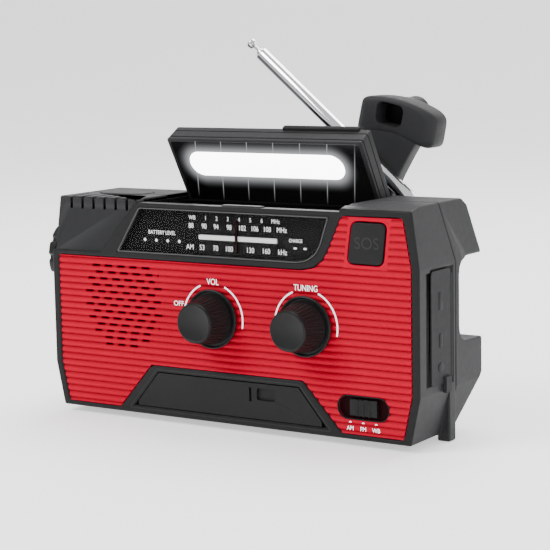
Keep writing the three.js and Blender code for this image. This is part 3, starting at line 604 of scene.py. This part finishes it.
def panel_depth(x, z):
    """How far back the panel lies: ribs, flats and slots, then pits for what passes through it."""
    turn = (z - RIB_START) / RIB
    rib = 0.78 * (1 - np.abs(np.sin(math.pi * turn)) ** 0.8)
    flat = inside(moved_in(SOS, -1.7), x, z, 0.6)
    depth = rib * (1 - flat) + PANEL_Y + 1.15 * slot_mask(x, z)
    pit = np.maximum(inside(moved_in(SOS, -0.3), x, z, 0.3), stadium_mask(x, z, BAND, 20.2, 7.9))
    for knob in ("volume_knob", "tuning_knob"):
        pit = np.maximum(pit, stadium_mask(x, z, middle(knob), 7.4, 7.4))
    return depth + pit * (PIT - depth)


def ribbed(z, x_left, x_right, across):
    """One region of the panel: rows at heights z, with columns shared out by across."""
    x = x_left[:, None] + (x_right - x_left)[:, None] * across[None]
    zz = np.broadcast_to(z[:, None], x.shape)
    return np.stack([x, panel_depth(x, zz), zz], -1)


def rows(low, high):
    """Heights from low to high, ten to a rib."""
    return np.linspace(low, high, int(round((high - low) / RIB * 10)) + 1)


def flank(z):
    """Half the panel's width at each height."""
    return np.interp(z, [PANEL_FOOT, 17.1, 61.5, 78.6], [73.4, 76.7, 76.7, 73.6])


low, mid, high = rows(PANEL_FOOT, COVER_TOP), rows(COVER_TOP, DIAL_FOOT), rows(DIAL_FOOT, PANEL_TOP)
cover_left = np.interp(low, [PANEL_FOOT, COVER_TOP], [-49, -34])
cover_right = np.interp(low, [PANEL_FOOT, COVER_TOP], [49, 33])
dial_right = np.interp(high, [DIAL_FOOT, 59.7, 62.3, 66.6, 78.4], [33, 38, 41.6, 44.2, 49.6])
over_speaker = np.linspace(0.05, 0.36, 150)
across = np.r_[np.linspace(0, 0.05, 5)[:-1], over_speaker, np.linspace(0.36, 1, 110)[1:]]
regions = [
    ribbed(low, -flank(low), cover_left, np.linspace(0, 1, 20)),
    ribbed(low, cover_right, flank(low), np.linspace(0, 1, 110)),
    ribbed(mid, -flank(mid), flank(mid), across),
    ribbed(high, dial_right, flank(high), np.linspace(0, 1, 90)),
]


def panel_mesh(parts, back):
    """The regions side by side, each with a skirt round it that goes back to one flat level."""
    points, faces, start = [], [], 0
    for part in parts:
        full = np.pad(part, ((1, 1), (1, 1), (0, 0)), mode="edge")
        full[[0, -1], :, 1] = back
        full[:, [0, -1], 1] = back
        index = start + np.arange(full.shape[0] * full.shape[1]).reshape(full.shape[:2])
        quads = np.stack([index[:-1, :-1], index[:-1, 1:], index[1:, 1:], index[1:, :-1]], -1)
        points.append(full.reshape(-1, 3))
        faces.append(quads.reshape(-1, 4))
        rim = np.r_[index[0, :-1], index[:-1, -1], index[-1, :0:-1], index[:0:-1, 0]]
        faces.append([rim[::-1].tolist()])
        start += index.size
    mesh = bpy.data.meshes.new("panel")
    every = [list(map(int, face)) for group in faces for face in group]
    mesh.from_pydata(metres(np.vstack(points)).tolist(), [], every)
    return mesh


finish_mesh("red_panel", panel_mesh(regions, 2.0), RED, "casing", "front_panel", sharp=50)
print("panel faces", len(PIECES["red_panel"].data.polygons))

# %% [markdown]
# Where a part sits in the ribbed panel, a smooth raised border runs round it. A border is a small section
# carried round an outline: the same outline moved out and in while its depth follows the section.

# %% Borders and print on the panel


def border(outline, section):
    """A closed section of (outset, depth) points carried round an outline in X and Z."""
    rings = []
    for out, depth in section:
        u, v = moved_in(outline, -out).T
        rings.append(np.c_[u, np.full(len(u), depth), v])
    return skin(np.array(rings), loop=True, caps=False)


def hoop(low, high, back, front):
    """A border's section: a low dome between two outsets."""
    turn = np.linspace(0, math.pi, 9)
    mid, half = (low + high) / 2, (high - low) / 2
    dome = np.c_[mid - half * np.cos(turn), back - (back - front) * np.sin(turn) ** 0.6]
    return np.vstack([dome, [[high, back + 0.6], [low, back + 0.6]]])


sos_outline = rounded(SOS, 2.6, 8)
finish_mesh("sos_border", border(sos_outline, hoop(0.3, 1.7, 0.9, 0.02)), RED, "casing", sharp=60)
band_outline = round_rect(BAND[0], BAND[2], 20.2, 7.9, 3.94, 12)
finish_mesh("band_border", border(band_outline, hoop(0.0, 0.5, 0.9, 0.1)), CHARCOAL, "casing", sharp=60)


def arc_band(centre, radius, width, start, stop, depth):
    """A flat printed arc: angles run clockwise from straight up, seen from the front."""
    angle = np.radians(np.linspace(start, stop, 90))
    section = np.array([[-0.5, 0.0], [0.5, 0.0], [0.5, 0.12], [-0.5, 0.12]])
    r = radius + section[:, 0] * width
    x = centre[0] + np.sin(angle)[:, None] * r
    z = centre[2] + np.cos(angle)[:, None] * r
    y = depth + np.broadcast_to(section[:, 1], x.shape)
    return skin(np.stack([x, y, z], -1))


ARC_R, ARC_WIDTH, ARC_Y = 13.0, 0.55, 0.08
for name in ("volume", "tuning"):
    at = middle(name + "_knob")
    finish_mesh(name + "_arc_right", arc_band(at, ARC_R, ARC_WIDTH, 24, 102, ARC_Y), PRINT, "casing")
    finish_mesh(name + "_arc_left", arc_band(at, ARC_R, ARC_WIDTH, -112, -24, ARC_Y), PRINT, "casing")
print("panel details done")

# %% [markdown]
# Lettering is limited to plain figures and the usual words for a control. Each is a text object turned
# into a mesh straight away, laid in the front's plane, so its place ends up in its points.

# %% Lettering


def letters(name, words, x, z, height, depth, width=1.0, material=PRINT, body="casing"):
    """Words standing in the X-Z plane, centred on (x, z), with a height in millimetres."""
    curve = bpy.data.curves.new(name, "FONT")
    curve.body = words
    curve.align_x = curve.align_y = "CENTER"
    curve.size = height * 1.38
    curve.extrude = 0.02
    thing = bpy.data.objects.new(name, curve)
    bpy.context.collection.objects.link(thing)
    bpy.context.view_layer.update()
    mesh = bpy.data.meshes.new_from_object(thing)
    bpy.data.objects.remove(thing)
    points = np.empty(len(mesh.vertices) * 3)
    mesh.vertices.foreach_get("co", points)
    points = points.reshape(-1, 3)
    placed = np.c_[x + points[:, 0] * width, depth - points[:, 2], z + points[:, 1]]
    mesh.vertices.foreach_set("co", metres(placed).ravel())
    mesh.materials.clear()
    weld(mesh)
    return finish_mesh(name, mesh, material, body)


volume, tuning = middle("volume_knob"), middle("tuning_knob")
letters("volume_word", "VOL", volume[0] + 0.2, volume[2] + 13.5, 2.3, 0.1, 0.86)
letters("tuning_word", "TUNING", tuning[0] + 0.2, tuning[2] + 13.5, 2.3, 0.1, 0.82)
letters("off_word", "OFF", volume[0] - 15.2, volume[2] + 4.6, 1.9, 0.1)
for i, word in enumerate(("AM", "FM", "WB")):
    x = BAND[0] - 5.2 + 5.2 * i
    letters("band_word_" + word.lower(), word, x, BAND[2] - 7.4, 1.6, 0.1, 0.9)
    tick = arc_band(np.array([x, 0, BAND[2] - 5.4]), 0.35, 0.3, -90, 90, 0.1)
    finish_mesh("band_tick_" + word.lower(), tick, PRINT, "casing")

# %% [markdown]
# The dial is three layers: a clear window, a black printed plate behind it, and between them the pointer.
# The figures are printed on the plate, so they sit back behind the window and the gloss passes over them.

# %% The dial
DIAL = np.array([
    [-48.8, 61.2], [30.8, 61.1], [35.4, 62], [38.8, 64.3], [41, 67.6], [44.5, 78], [-38.1, 78.3],
])
window = plate(rounded(moved_in(DIAL, 0.25), 1.0, 5), soft_edge(0.3, 1.4, 0.3))
finish_mesh("window", window, WINDOW, "casing", "dial_window")
trim = border(rounded(moved_in(DIAL, 0.1), 1.0, 5), hoop(-0.35, 0.0, 0.3, 0.05))
finish_mesh("window_trim", trim, TRIM, "casing", sharp=60)
PLATE_Y = 2.93
STRIP_AT = middle("dial_strip")
DIAL_ROWS = (
    ("WB 1 2 3 4 5 6 MHz", (-15.5, -9.5, -4.6, 0.3, 5.2, 10.1, 15, 20.8), 75.1, 1.6),
    ("88 90 94 98 102 106 108 MHz", (-16, -10.2, -4.9, 0.8, 6.5, 11.9, 17.2, 23.4), 72.1, 1.9),
    ("AM 53 70 100 130 160 kHz", (-16.7, -11.3, -5.3, 0.6, 9.8, 16.6, 23.6), 64.2, 2.0),
)
for row, (words, places, z, size) in enumerate(DIAL_ROWS):
    for i, (word, x) in enumerate(zip(words.split(), places)):
        letters(f"dial_{row}_{i}", word, x, z, size, PLATE_Y, 0.86)
letters("dial_charge", "CHARGE", 29.2, 68.6, 1.3, PLATE_Y, 0.8)
for i, x in enumerate((29, 33.1)):
    spot = plate(round_rect(x, 66, 1.3, 0.7, 0.3, 4), [(2.8, 0.0), (2.95, 0.0)])
    finish_mesh(f"dial_spot_{i + 1}", spot, PRINT, "casing")
for i in range(4):
    lamp = turned([(0, 2.8), (0.5, 2.8), (0.6, 2.95), (0, 2.95)], "y", (-37.3 + 5.25 * i, 0, 66), 20)
    finish_mesh(f"dial_lamp_{i + 1}", lamp, PRINT, "casing")
letters("dial_lamp_words", "BATTERY LEVEL", -29.4, 68.9, 1.5, PLATE_Y, 0.86)
strip = plate(round_rect(STRIP_AT[0], 68.1, 34, 1.7, 0.4, 5), soft_edge(2.7, 3.9, 0.25))
finish_mesh("strip", strip, STRIP, "casing", "dial_strip")

# %% [markdown]
# A knob is a skirt, a finely ridged barrel and a flat cap. All three are one turned profile, and the ridges
# come from a wave in the barrel's radius that fades out towards the cap and the skirt.

# %% Knobs
BARREL = (-11.2, -2.6)
RIDGES = 36


def knurl(angle, along):
    """Fine ridges over the barrel, and none on the skirt or the cap."""
    low, high = BARREL
    fade = np.clip((along - low) / 0.6, 0, 1) * np.clip((high - along) / 0.6, 0, 1)
    return 1 + 0.03 * fade * (np.clip(np.cos(RIDGES * angle), 0, 1) ** 3 - 0.5)


def knob_profile():
    """Cap with a rolled rim, flared barrel, a shadow groove and a thin skirt, as radius and distance."""
    cap = [(0, -12.2), (6.3, -12.2), (6.6, -12.4), (7.0, -12.35), (7.3, -12.0), (7.4, -11.4)]
    barrel = np.c_[np.linspace(7.45, 9.0, 16), np.linspace(*BARREL, 16)].tolist()
    skirt = [(9.2, -2.2), (9.2, -0.9), (9.9, -0.85), (10.1, -1.5), (10.5, -1.7), (10.9, -1.5), (11.0, -1.0),
             (10.8, -0.6), (3.2, -0.6), (3.0, 1.7), (0, 1.7)]
    return cap + barrel + skirt


for name in ("volume", "tuning"):
    at = middle(name + "_knob")
    body = turned(knob_profile(), "y", (at[0], 0, at[2]), 12 * RIDGES, knurl)
    finish_mesh(name + "_grip", body, KNOB, name, name + "_knob", sharp=35)
print("knobs done")

# %% [markdown]
# The emergency button leans with the front's corner and is very slightly domed. The dome is the cap of
# the plate: each ring in from the edge stands a little further out.

# %% Buttons and slider


def domed(rim, back, rise, radius):
    """(depth, inset, shrink) steps for a plate whose front swells by rise towards the middle."""
    edge_steps = soft_edge(rim, back, radius)
    shrink = np.linspace(0.05, 0.95, 7)
    crown = np.c_[rim - rise * (1 - shrink**2), np.full(7, radius), shrink]
    return np.vstack([crown, np.c_[edge_steps, np.ones(len(edge_steps))]])


button = plate(rounded(moved_in(SOS, 0.05), 2.2, 8), domed(-0.35, 0.85, 0.12, 0.5))
finish_mesh("emergency_key", button, CHARCOAL, "sos_key", "sos_button")
letters("emergency_word", "SOS", 60, 69.4, 4.2, -0.48, 1.0, GREY, "sos_key")
oval = round_rect(*middle("light_button")[:2], 22, 13, 6.49, 12)
key = plate(oval, domed(81.55, 77.2, -0.12, 0.8), "xzy")
finish_mesh("torch_key", key, GREY, "light_key", "light_button")


def slider_block():
    """A block whose front carries three low grips, from one profile of X and Y along Z."""
    half, back_y = 5.4, 1.7
    x = np.linspace(-half, half, 109)
    ridge = np.clip(1 - np.abs(np.abs(x[:, None] - np.array([-2.4, 0, 2.4])).min(1)) / 0.55, 0, 1)
    y = 0.3 - 0.6 * np.sin(ridge * math.pi / 2)
    front = np.c_[x, y]
    back = np.array([[half, back_y], [-half, back_y]])
    profile = np.vstack([front, back]) + [BAND[0], 0]
    rings = []
    for z, lift in ((-3.0, 0.25), (-2.75, 0.0), (2.75, 0.0), (3.0, 0.25)):
        depth = np.minimum(profile[:, 1] + lift, back_y)
        rings.append(np.c_[profile[:, 0], depth, np.full(len(profile), BAND[2] + z)])
    return skin(np.array(rings))


finish_mesh("band_grip", slider_block(), KNOB, "band_key", "band_slider")
print("buttons done")

# %% [markdown]
# Underneath the red panel the battery cover fills a wedge of the bezel. A shallow thumb recess and a slot
# show where it unlatches.

# %% Battery cover
softened("battery_lid", "battery_cover", CHARCOAL, "battery_door", 0.25)
COVER = np.array([[-42.5, 2.9], [42.5, 2.9], [31, 16.6], [-31, 16.6]])
line = border(rounded(moved_in(COVER, -0.75), 0.6, 4), hoop(0.0, 0.45, 0.12, -0.02))
finish_mesh("cover_line", line, GREY, "casing", sharp=60)

# %% [markdown]
# The rubber flap over the sockets keeps its working shape. Rubber tools leave generous radii, so its
# bevel is wider for its thickness than the casing's. Three small raised signs show what lies behind it.

# %% Port cover
softened("port_flap", "port_cover", RUBBER, "flap", 0.4)
FACE_X = 80.3


def raised_sign(name, outline):
    """A low raised sign on the flap's face, drawn in Y and Z."""
    mesh = plate(outline, [(FACE_X + 0.25, 0.12), (FACE_X + 0.18, 0.0), (FACE_X - 0.3, 0.0)], "yxz")
    finish_mesh(name, mesh, RUBBER, "flap", sharp=60)


raised_sign("flap_sign_slot", round_rect(15, 49, 2.6, 6.4, 0.5, 4))
raised_sign("flap_sign_oval", round_rect(15, 35, 2.2, 5.4, 1.08, 6))
raised_sign("flap_sign_round", round_rect(15, 25.6, 3.6, 3.6, 1.79, 8))

# %% [markdown]
# The lid has a shell with the solar panel let into its top, and a black panel underneath that carries the
# lamp. It rests open, so every plain outline is drawn with the lid shut and then swung up about its
# hinge.

# %% Lid
HINGE = np.array([0, 37.0, 77.75])
OPEN = math.radians(-60)
LID_TOP = HINGE[2] + 4.25
LAMP = {"x": 4.0, "from_hinge": 20.4, "width": 67.6, "height": 10.7}


def swing(mesh):
    """Swing a mesh that was drawn shut up to where the lid rests."""
    return turn_about(mesh, HINGE, OPEN, "X")


def glow_panel():
    """Gloss black with a painted glow of the lamp's light close round it, and faint painted rays that fade
    out over a centimetre.
    """
    f = Finish("lamp surround", (0.004, 0.004, 0.0045), 0.16)
    x, y, z = f.parts(f.place())
    pivot = metres(HINGE)
    run = (z - float(pivot[2])) * math.sin(-OPEN) - (y - float(pivot[1])) * math.cos(OPEN)
    along = run - LAMP["from_hinge"] * MM
    across = x - float(metres([LAMP["x"], 0, 0])[0])
    straight = (LAMP["width"] - LAMP["height"]) / 2 * MM
    over = (across.math("ABSOLUTE") - straight).math("MAXIMUM", 0.0)
    away = (over * over + along * along).power(0.5)
    # painted light: the lamp's glow painted on the black round the lamp
    painted_halo = (1 - away.between(LAMP["height"] / 2 * MM * 0.9, 0.0115)).power(2.6)
    # painted light: thin slanted rays of the lamp painted on the black
    fine = 1 - (across - along * 0.3 + 0.1).math("PINGPONG", 0.00575).between(0.0, 0.0003)
    painted_ray = fine * (1 - away.between(0.006, 0.017)).power(1.2)
    light = (painted_halo * 0.8).math("MAXIMUM", painted_ray * 0.8)
    shine = f.mix(light, (0.0, 0.0, 0.0), (0.9, 0.92, 0.95))
    f.set(**{"Emission Color": shine, "Emission Strength": 1.0})
    f.set(Roughness=f.noise(300.0) * 0.06 + 0.14)
    return f.material


def lid_cover():
    """The grey outer half: a rounded block whose top steps down into a bed for the solar panel."""
    outer = round_rect(5.45, 21.25, 84.9, 31.5, 1.2)
    bed = round_rect(5.5, 20.5, 70.4, 23.8, 0.8)
    steps = [(-2.55, 0.2), (-2.35, 0.0), (0.9, 0.0), (1.0, 0.3), (1.3, 0.3), (1.4, 0.0), (3.3, 0.0)]
    steps += [(3.3 + 0.95 * math.sin(a), 0.95 * (1 - math.cos(a))) for a in (0.4, 0.8, 1.2, math.pi / 2)]
    rings = [np.c_[moved_in(outer, into), np.full(len(outer), rise)] for rise, into in steps]
    rings += [np.c_[bed, np.full(len(bed), 4.25)], np.c_[moved_in(bed, 0.2), np.full(len(bed), 3.5)]]
    return skin(np.array(rings) + [0, 0, HINGE[2]])


SURROUND = glow_panel()
finish_mesh("lid_cover", swing(lid_cover()), GREY, "lid", "lid_shell")
rim = plate(round_rect(5.45, 20.05, 84.9, 29.0, 1.0), soft_edge(73.5, 74.9, 0.35, both=True), "xzy")
finish_mesh("lid_rim", swing(rim), GREY, "lid")
face = plate(round_rect(5.45, 19.85, 82.1, 26.6, 0.8), soft_edge(73.38, 74.5, 0.1), "xzy")
finish_mesh("lamp_surround", swing(face), SURROUND, "lid", "lamp_panel")
lip = plate(round_rect(27.5, 6.5, 32.4, 4.2, 0.7), soft_edge(82.3, 80.3, 0.5, both=True), "xzy")
finish_mesh("lid_lip", swing(lip), CHARCOAL, "lid")
for side, x in (("left", (-38.4, -32.2)), ("right", (43.1, 49.3))):
    barrel = turned([(0, x[0]), (1.2, x[0]), (1.2, x[1]), (0, x[1])], "x", (0, *HINGE[1:]), 32)
    finish_mesh("lid_pin_" + side, swing(barrel), BLACK, "lid")
height = LAMP["height"]
stadium = round_rect(LAMP["x"], HINGE[1] - LAMP["from_hinge"], LAMP["width"], height, height / 2 - 0.02, 14)
lens = plate(stadium, domed(73.15, 75.0, 0.15, 0.4), "xzy")
finish_mesh("lamp_glow", swing(lens), LIT, "lid", "lamp_diffuser")
cells = round_rect(5.5, HINGE[1] - 16.5, 69.4, 22.8, 0.6, 4)
panel = plate(cells, soft_edge(LID_TOP - 0.15, LID_TOP - 0.8, 0.15), "xzy")
finish_mesh("sun_panel", swing(panel), SOLAR, "lid", "solar_panel")
print("lid done")

# %% [markdown]
# The antenna is a set of drawn tubes, one in the next, with a turned tip. A tube's lip is rolled in at
# its open end, which is what catches the light there.

# %% Antenna
PIVOT = np.array([55.0, 45.8, 78.0])
TILT = math.radians(40.1)


def raise_up(mesh):
    """Tilt a mesh drawn lying towards -X up to where the antenna rests."""
    return turn_about(mesh, PIVOT, TILT, "Y")


def drawn_tube(outer, inner, near, far):
    """A tube towards -X, its far lip rolled in, as one closed loop of profile."""
    lip = [(outer - 0.12, -far + 0.15), ((outer + inner) / 2, -far), (inner, -far + 0.15)]
    profile = [(outer, -near), (outer, -far + 0.5), *lip, (inner, -near)]
    return turned(profile, "x", PIVOT, 40, loop=True)


finish_mesh("mast", raise_up(drawn_tube(2.7, 2.3, 9.0, 86.7)), CHROME, "antenna")
second, third = raise_up(drawn_tube(2.0, 1.6, 6, 87.6)), raise_up(drawn_tube(1.3, 0.9, 8, 88.5))
finish_mesh("mast_second", second, CHROME, "antenna_second", "antenna_section_2")
finish_mesh("mast_third", third, CHROME, "antenna_third", "antenna_section_3")
tip = [(0, -93.9), (1.3, -93.8), (1.9, -93.2), (2.0, -92.4), (1.8, -91.7), (1.0, -91.3), (0.62, -91.0),
       (0.6, -90), (0.6, -10), (0, -10)]
finish_mesh("mast_tip", raise_up(turned(tip, "x", PIVOT, 32)), CHROME, "antenna_last", "antenna_rod")
softened("mast_root", "antenna_tube", CHROME, "antenna", 0.2)
softened("mast_block", "antenna_base", BLACK, "casing", 0.3)

# %% [markdown]
# The crank's arm widens into a curved head with a pocket in its front, and leans as one with its hub.
# Head and pocket are rings about one centre: each outline is read as a radius for each angle, so the
# pocket's floor, its rim and the head's edge join point to point.

# %% Crank
HUB = np.array([30.0, 0.0, 46.5])
LEAN = math.radians(12)
HEAD = HUB[[0, 2]] + [-2, 65.6]


def lean(mesh):
    """Lean a mesh drawn upright over to where the arm rests."""
    return turn_about(mesh, HUB, LEAN, "Y")


def polar(outline, centre, count=160, soften=0):
    """A closed outline as points at even angles about a centre, with neighbours averaged to soften it."""
    p = np.asarray(outline, float) - centre
    t = np.linspace(0, 1, 40)[None, :, None]
    dense = (p[:, None] + (np.roll(p, -1, 0) - p)[:, None] * t).reshape(-1, 2)
    angle, radius = np.arctan2(dense[:, 1], dense[:, 0]), np.hypot(*dense.T)
    even = np.linspace(-math.pi, math.pi, count, endpoint=False)
    radius = np.interp(even, *np.array(sorted(zip(angle, radius))).T, period=2 * math.pi)
    for _ in range(soften):
        radius = (np.roll(radius, 1) + 2 * radius + np.roll(radius, -1)) / 4
    return centre + radius[:, None] * np.c_[np.cos(even), np.sin(even)]


def arc(rise, radius, start, stop):
    """Points of an arc about a centre straight above the hub."""
    angle = np.radians(np.linspace(start, stop, 16))
    return HUB[[0, 2]] + [0, rise] + radius * np.c_[np.cos(angle), np.sin(angle)]


def crank_head():
    """Pocket floor, pocket wall, rolled rim, domed face, rounded edge and back, as one set of rings."""
    head = polar(np.vstack([arc(26, 46, 68, 109), arc(12, 46.5, 109, 68)]), HEAD, soften=10)
    pocket = polar(round_rect(*HEAD, 11, 8, 2.4), HEAD)
    turn = np.linspace(0, math.pi / 2, 6)
    steps = [(0.5, 57.0), (0.1, 56.6), (0.0, 50.0), (-0.1, 49.3), (-0.5, 49.0)]
    rings = [(pocket, into, y) for into, y in steps]
    rings += [(head, 2.2 * (1 - math.sin(a)), 49.0 + 2.2 * (1 - math.cos(a))) for a in turn]
    rings += [(head, 1.6 * (1 - math.cos(a)), 58.4 + 1.6 * math.sin(a)) for a in turn]
    rings = [np.insert(HEAD + (p - HEAD) * (1 - into / 8), 1, y, axis=1) for p, into, y in rings]
    return skin(np.array(rings))


def crank_blade():
    """The arm: narrow above its fork and flared to the head, with soft edges front and back."""
    right = np.array([[7.6, 8], [7.6, 14], [4.8, 24], [4.6, 40], [8.5, 52], [12, 61]])
    outline = rounded(np.vstack([right, (right * [-1, 1])[::-1]]), 4.0, 6) + HUB[[0, 2]]
    return plate(outline, soft_edge(49.5, 56.5, 1.3, both=True))


def fork_cheek(x0, x1):
    """One side of the fork: a round end about the fold pin, carried up into the blade."""
    turn = np.radians(np.linspace(180, 360, 18))
    low = np.c_[53 + 3.5 * np.cos(turn), HUB[2] + 3.5 * np.sin(turn)]
    outline = np.vstack([low, [[56.5, HUB[2] + 14], [49.5, HUB[2] + 14]]])
    return plate(outline, soft_edge(x0, x1, 0.6, both=True), "yxz")


finish_mesh("crank_head", lean(crank_head()), GREY, "arm", "crank_arm")
finish_mesh("crank_blade", lean(crank_blade()), GREY, "arm")
for side, span in (("left", (22.4, 26.7)), ("right", (33.3, 37.6))):
    finish_mesh("crank_cheek_" + side, lean(fork_cheek(*span)), GREY, "arm")
# painted shade: a black sheet on the pocket's floor darkens the recess
pocket_shade = plate(polar(round_rect(*HEAD, 10.9, 7.9, 2.4), HEAD, 64), [(56.2, 0.3), (56.5, 0.3)])
finish_mesh("pocket_floor", lean(pocket_shade), BLACK, "arm")
knob_pin = turned([(0, 58), (1.4, 58), (1.4, 69.7), (0, 69.7)], "y", (HEAD[0], 0, HEAD[1]), 32)
finish_mesh("crank_knob_pin", lean(knob_pin), STEEL, "arm")
softened("crank_boss", "crank_hub", CHARCOAL, "crank", 0.5)
grip = eased([(1.7, 60.5), (5.2, 60.5), (6.2, 61.2), (5.3, 65.5), (6.2, 70.3), (5.0, 71.4), (0, 71.4)], 8)
inner = np.array([(0, 70.0), (1.7, 70.0), (1.7, 60.5)])
grip_mesh = turned(np.vstack([grip, inner]), "y", (HEAD[0], 0, HEAD[1]), 72)
finish_mesh("crank_grip", lean(grip_mesh), KNOB, "grip", "crank_knob")

# %% [markdown]
# The torch looks out of the left end. Its ring is scalloped by a wave on the radius, its reflector is a
# parabola, and a clear lens closes it.

# %% Torch
TORCH = (0, *middle("torch_bezel")[1:])
NOTCHES = 12


def scallop(angle, along):
    """Notches in the ring's outer face."""
    outer = np.clip((-80.6 - along) / 0.4, 0, 1)
    return 1 - 0.075 * outer * np.clip(np.cos(NOTCHES * angle) * 1.6 - 0.5, 0, 1)


ring = [(11.6, -84.0), (13.2, -84.0), (13.9, -83.6), (14.2, -83.0), (14.2, -81.4), (14.2, -80.3),
        (12.7, -80.3), (12.7, -77.6), (11.6, -77.6)]
scalloped = turned(ring, "x", TORCH, 16 * NOTCHES, scallop, loop=True)
finish_mesh("torch_ring", scalloped, KNOB, "casing", "torch_bezel")
lens = [(0, -83.7), (4, -83.65), (8, -83.4), (10.6, -82.9), (11.3, -82.5), (11.3, -81.4), (0, -81.4)]
finish_mesh("torch_glass", turned(lens, "x", TORCH, 64), GLASS, "casing", "torch_lens")
run = np.linspace(0, 1, 16)
bowl = np.c_[1.8 + 9.0 * np.sqrt(run), -67.2 - 13.9 * run]
reflector = turned(np.vstack([bowl, bowl[::-1] + [0.5, 0.0]]), "x", TORCH, 64, loop=True)
finish_mesh("torch_bowl", reflector, CHROME, "casing", "torch_reflector")

# %% [markdown]
# A cross-head screw is a dished disc with a cross pressed into it. The screws keep their working shape
# with softer edges, and the rubber feet are new plates with a rounded rim.

# %% Feet and screws
for side in ("left", "right"):
    at = middle("rubber_foot_" + side)
    pad = round_rect(at[0], at[1], 9, 16, 3, 8)
    mesh = plate(pad, soft_edge(-FOOT, 0, 0.5), "xzy")
    finish_mesh("pad_" + side, mesh, RUBBER, "casing", "rubber_foot_" + side)
for i in range(1, 5):
    softened(f"screw_{i}", f"case_screw_{i}", STEEL, "casing", 0.12)
print("pieces", len(PIECES))

# %% [markdown]
# The setting is a pale sweep under soft light: a broad key from the upper left, a fill from the right, a
# light over the back, and a bright surround so that chrome and gloss have something white to show.

# %% Floor, light and camera


def sweep():
    """A floor that curves up behind, worked out as a profile in Y and Z carried along X."""
    turn = np.linspace(0, math.pi / 2, 24)
    bend = np.c_[1.6 + 0.8 * np.sin(turn), 0.8 * (1 - np.cos(turn))]
    profile = np.vstack([[-3.0, 0.0], bend, [2.4, 3.4]])
    x = np.linspace(-4, 4, 5)
    grid = np.empty((len(x), len(profile), 3))
    grid[..., 0] = x[:, None]
    grid[..., 1:] = profile
    index = np.arange(len(x) * len(profile)).reshape(len(x), -1)
    faces = np.stack([index[:-1, :-1], index[1:, :-1], index[1:, 1:], index[:-1, 1:]], -1).reshape(-1, 4)
    mesh = bpy.data.meshes.new("sweep")
    mesh.from_pydata(grid.reshape(-1, 3).tolist(), [], faces.tolist())
    mesh.polygons.foreach_set("use_smooth", np.ones(len(mesh.polygons), bool))
    return mesh


floor = bpy.data.objects.new("floor", sweep())
bpy.context.collection.objects.link(floor)
glow = {"Emission Color": (1, 1, 1, 1), "Emission Strength": 0.7}
floor.data.materials.append(Finish("pale floor", (0.93, 0.93, 0.93), 0.7, **glow).material)


def soft_light(name, place, aim, size, power):
    """A square area light at a place, facing a point."""
    lamp = bpy.data.lights.new(name, "AREA")
    lamp.energy = power
    lamp.size = size
    thing = bpy.data.objects.new(name, lamp)
    thing.location = place
    thing.rotation_euler = (Vector(aim) - Vector(place)).to_track_quat("-Z", "Y").to_euler()
    bpy.context.collection.objects.link(thing)


AIM = (0, 0, 0.05)
soft_light("key", (-0.5, -0.8, 1.0), AIM, 0.6, 15)
soft_light("fill", (1.1, -0.5, 0.4), AIM, 0.6, 5)
soft_light("top", (0.0, 0.4, 1.0), AIM, 0.7, 12)
world = bpy.data.worlds.new("surround")
world.use_nodes = True
sky = world.node_tree.nodes["Background"]
sky.inputs["Color"].default_value = (1, 1, 1, 1)
sky.inputs["Strength"].default_value = 0.8
bpy.context.scene.world = world

# %% [markdown]
# The camera stands to the right of the front and a little above, far enough back for a long lens, so the
# upright edges stay almost parallel. It is turned by a degree about its own line of sight.

# %% Camera
AZIMUTH, ELEVATION, ROLL = (math.radians(v) for v in (32.84, 7.86, -1.06))
LENS = 116.4
DISTANCE = 646.5
AIM_AT = np.array([0, 0, 37.0])
SHIFT_MM = (-18.27, -17.97)


def place_camera():
    """Aim from the azimuth and elevation, then slide across the view so the object sits in place."""
    ca, sa, ce, se = math.cos(AZIMUTH), math.sin(AZIMUTH), math.cos(ELEVATION), math.sin(ELEVATION)
    forward = np.array([-sa * ce, ca * ce, -se])
    right = np.cross(forward, [0, 0, 1])
    right /= np.linalg.norm(right)
    up = np.cross(right, forward)
    cr, sr = math.cos(ROLL), math.sin(ROLL)
    right, up = cr * right + sr * up, cr * up - sr * right
    eye = AIM_AT - forward * DISTANCE - right * SHIFT_MM[0] - up * SHIFT_MM[1]
    turn = Matrix(np.c_[right, up, -forward].tolist()).to_4x4()
    camera = bpy.data.cameras.new("camera")
    camera.lens = LENS
    camera.sensor_width = 36
    thing = bpy.data.objects.new("camera", camera)
    thing.matrix_world = Matrix.Translation(Vector(metres(eye))) @ turn
    bpy.context.collection.objects.link(thing)
    bpy.context.scene.camera = thing


place_camera()
print("camera at", [round(v, 3) for v in bpy.context.scene.camera.matrix_world.translation])
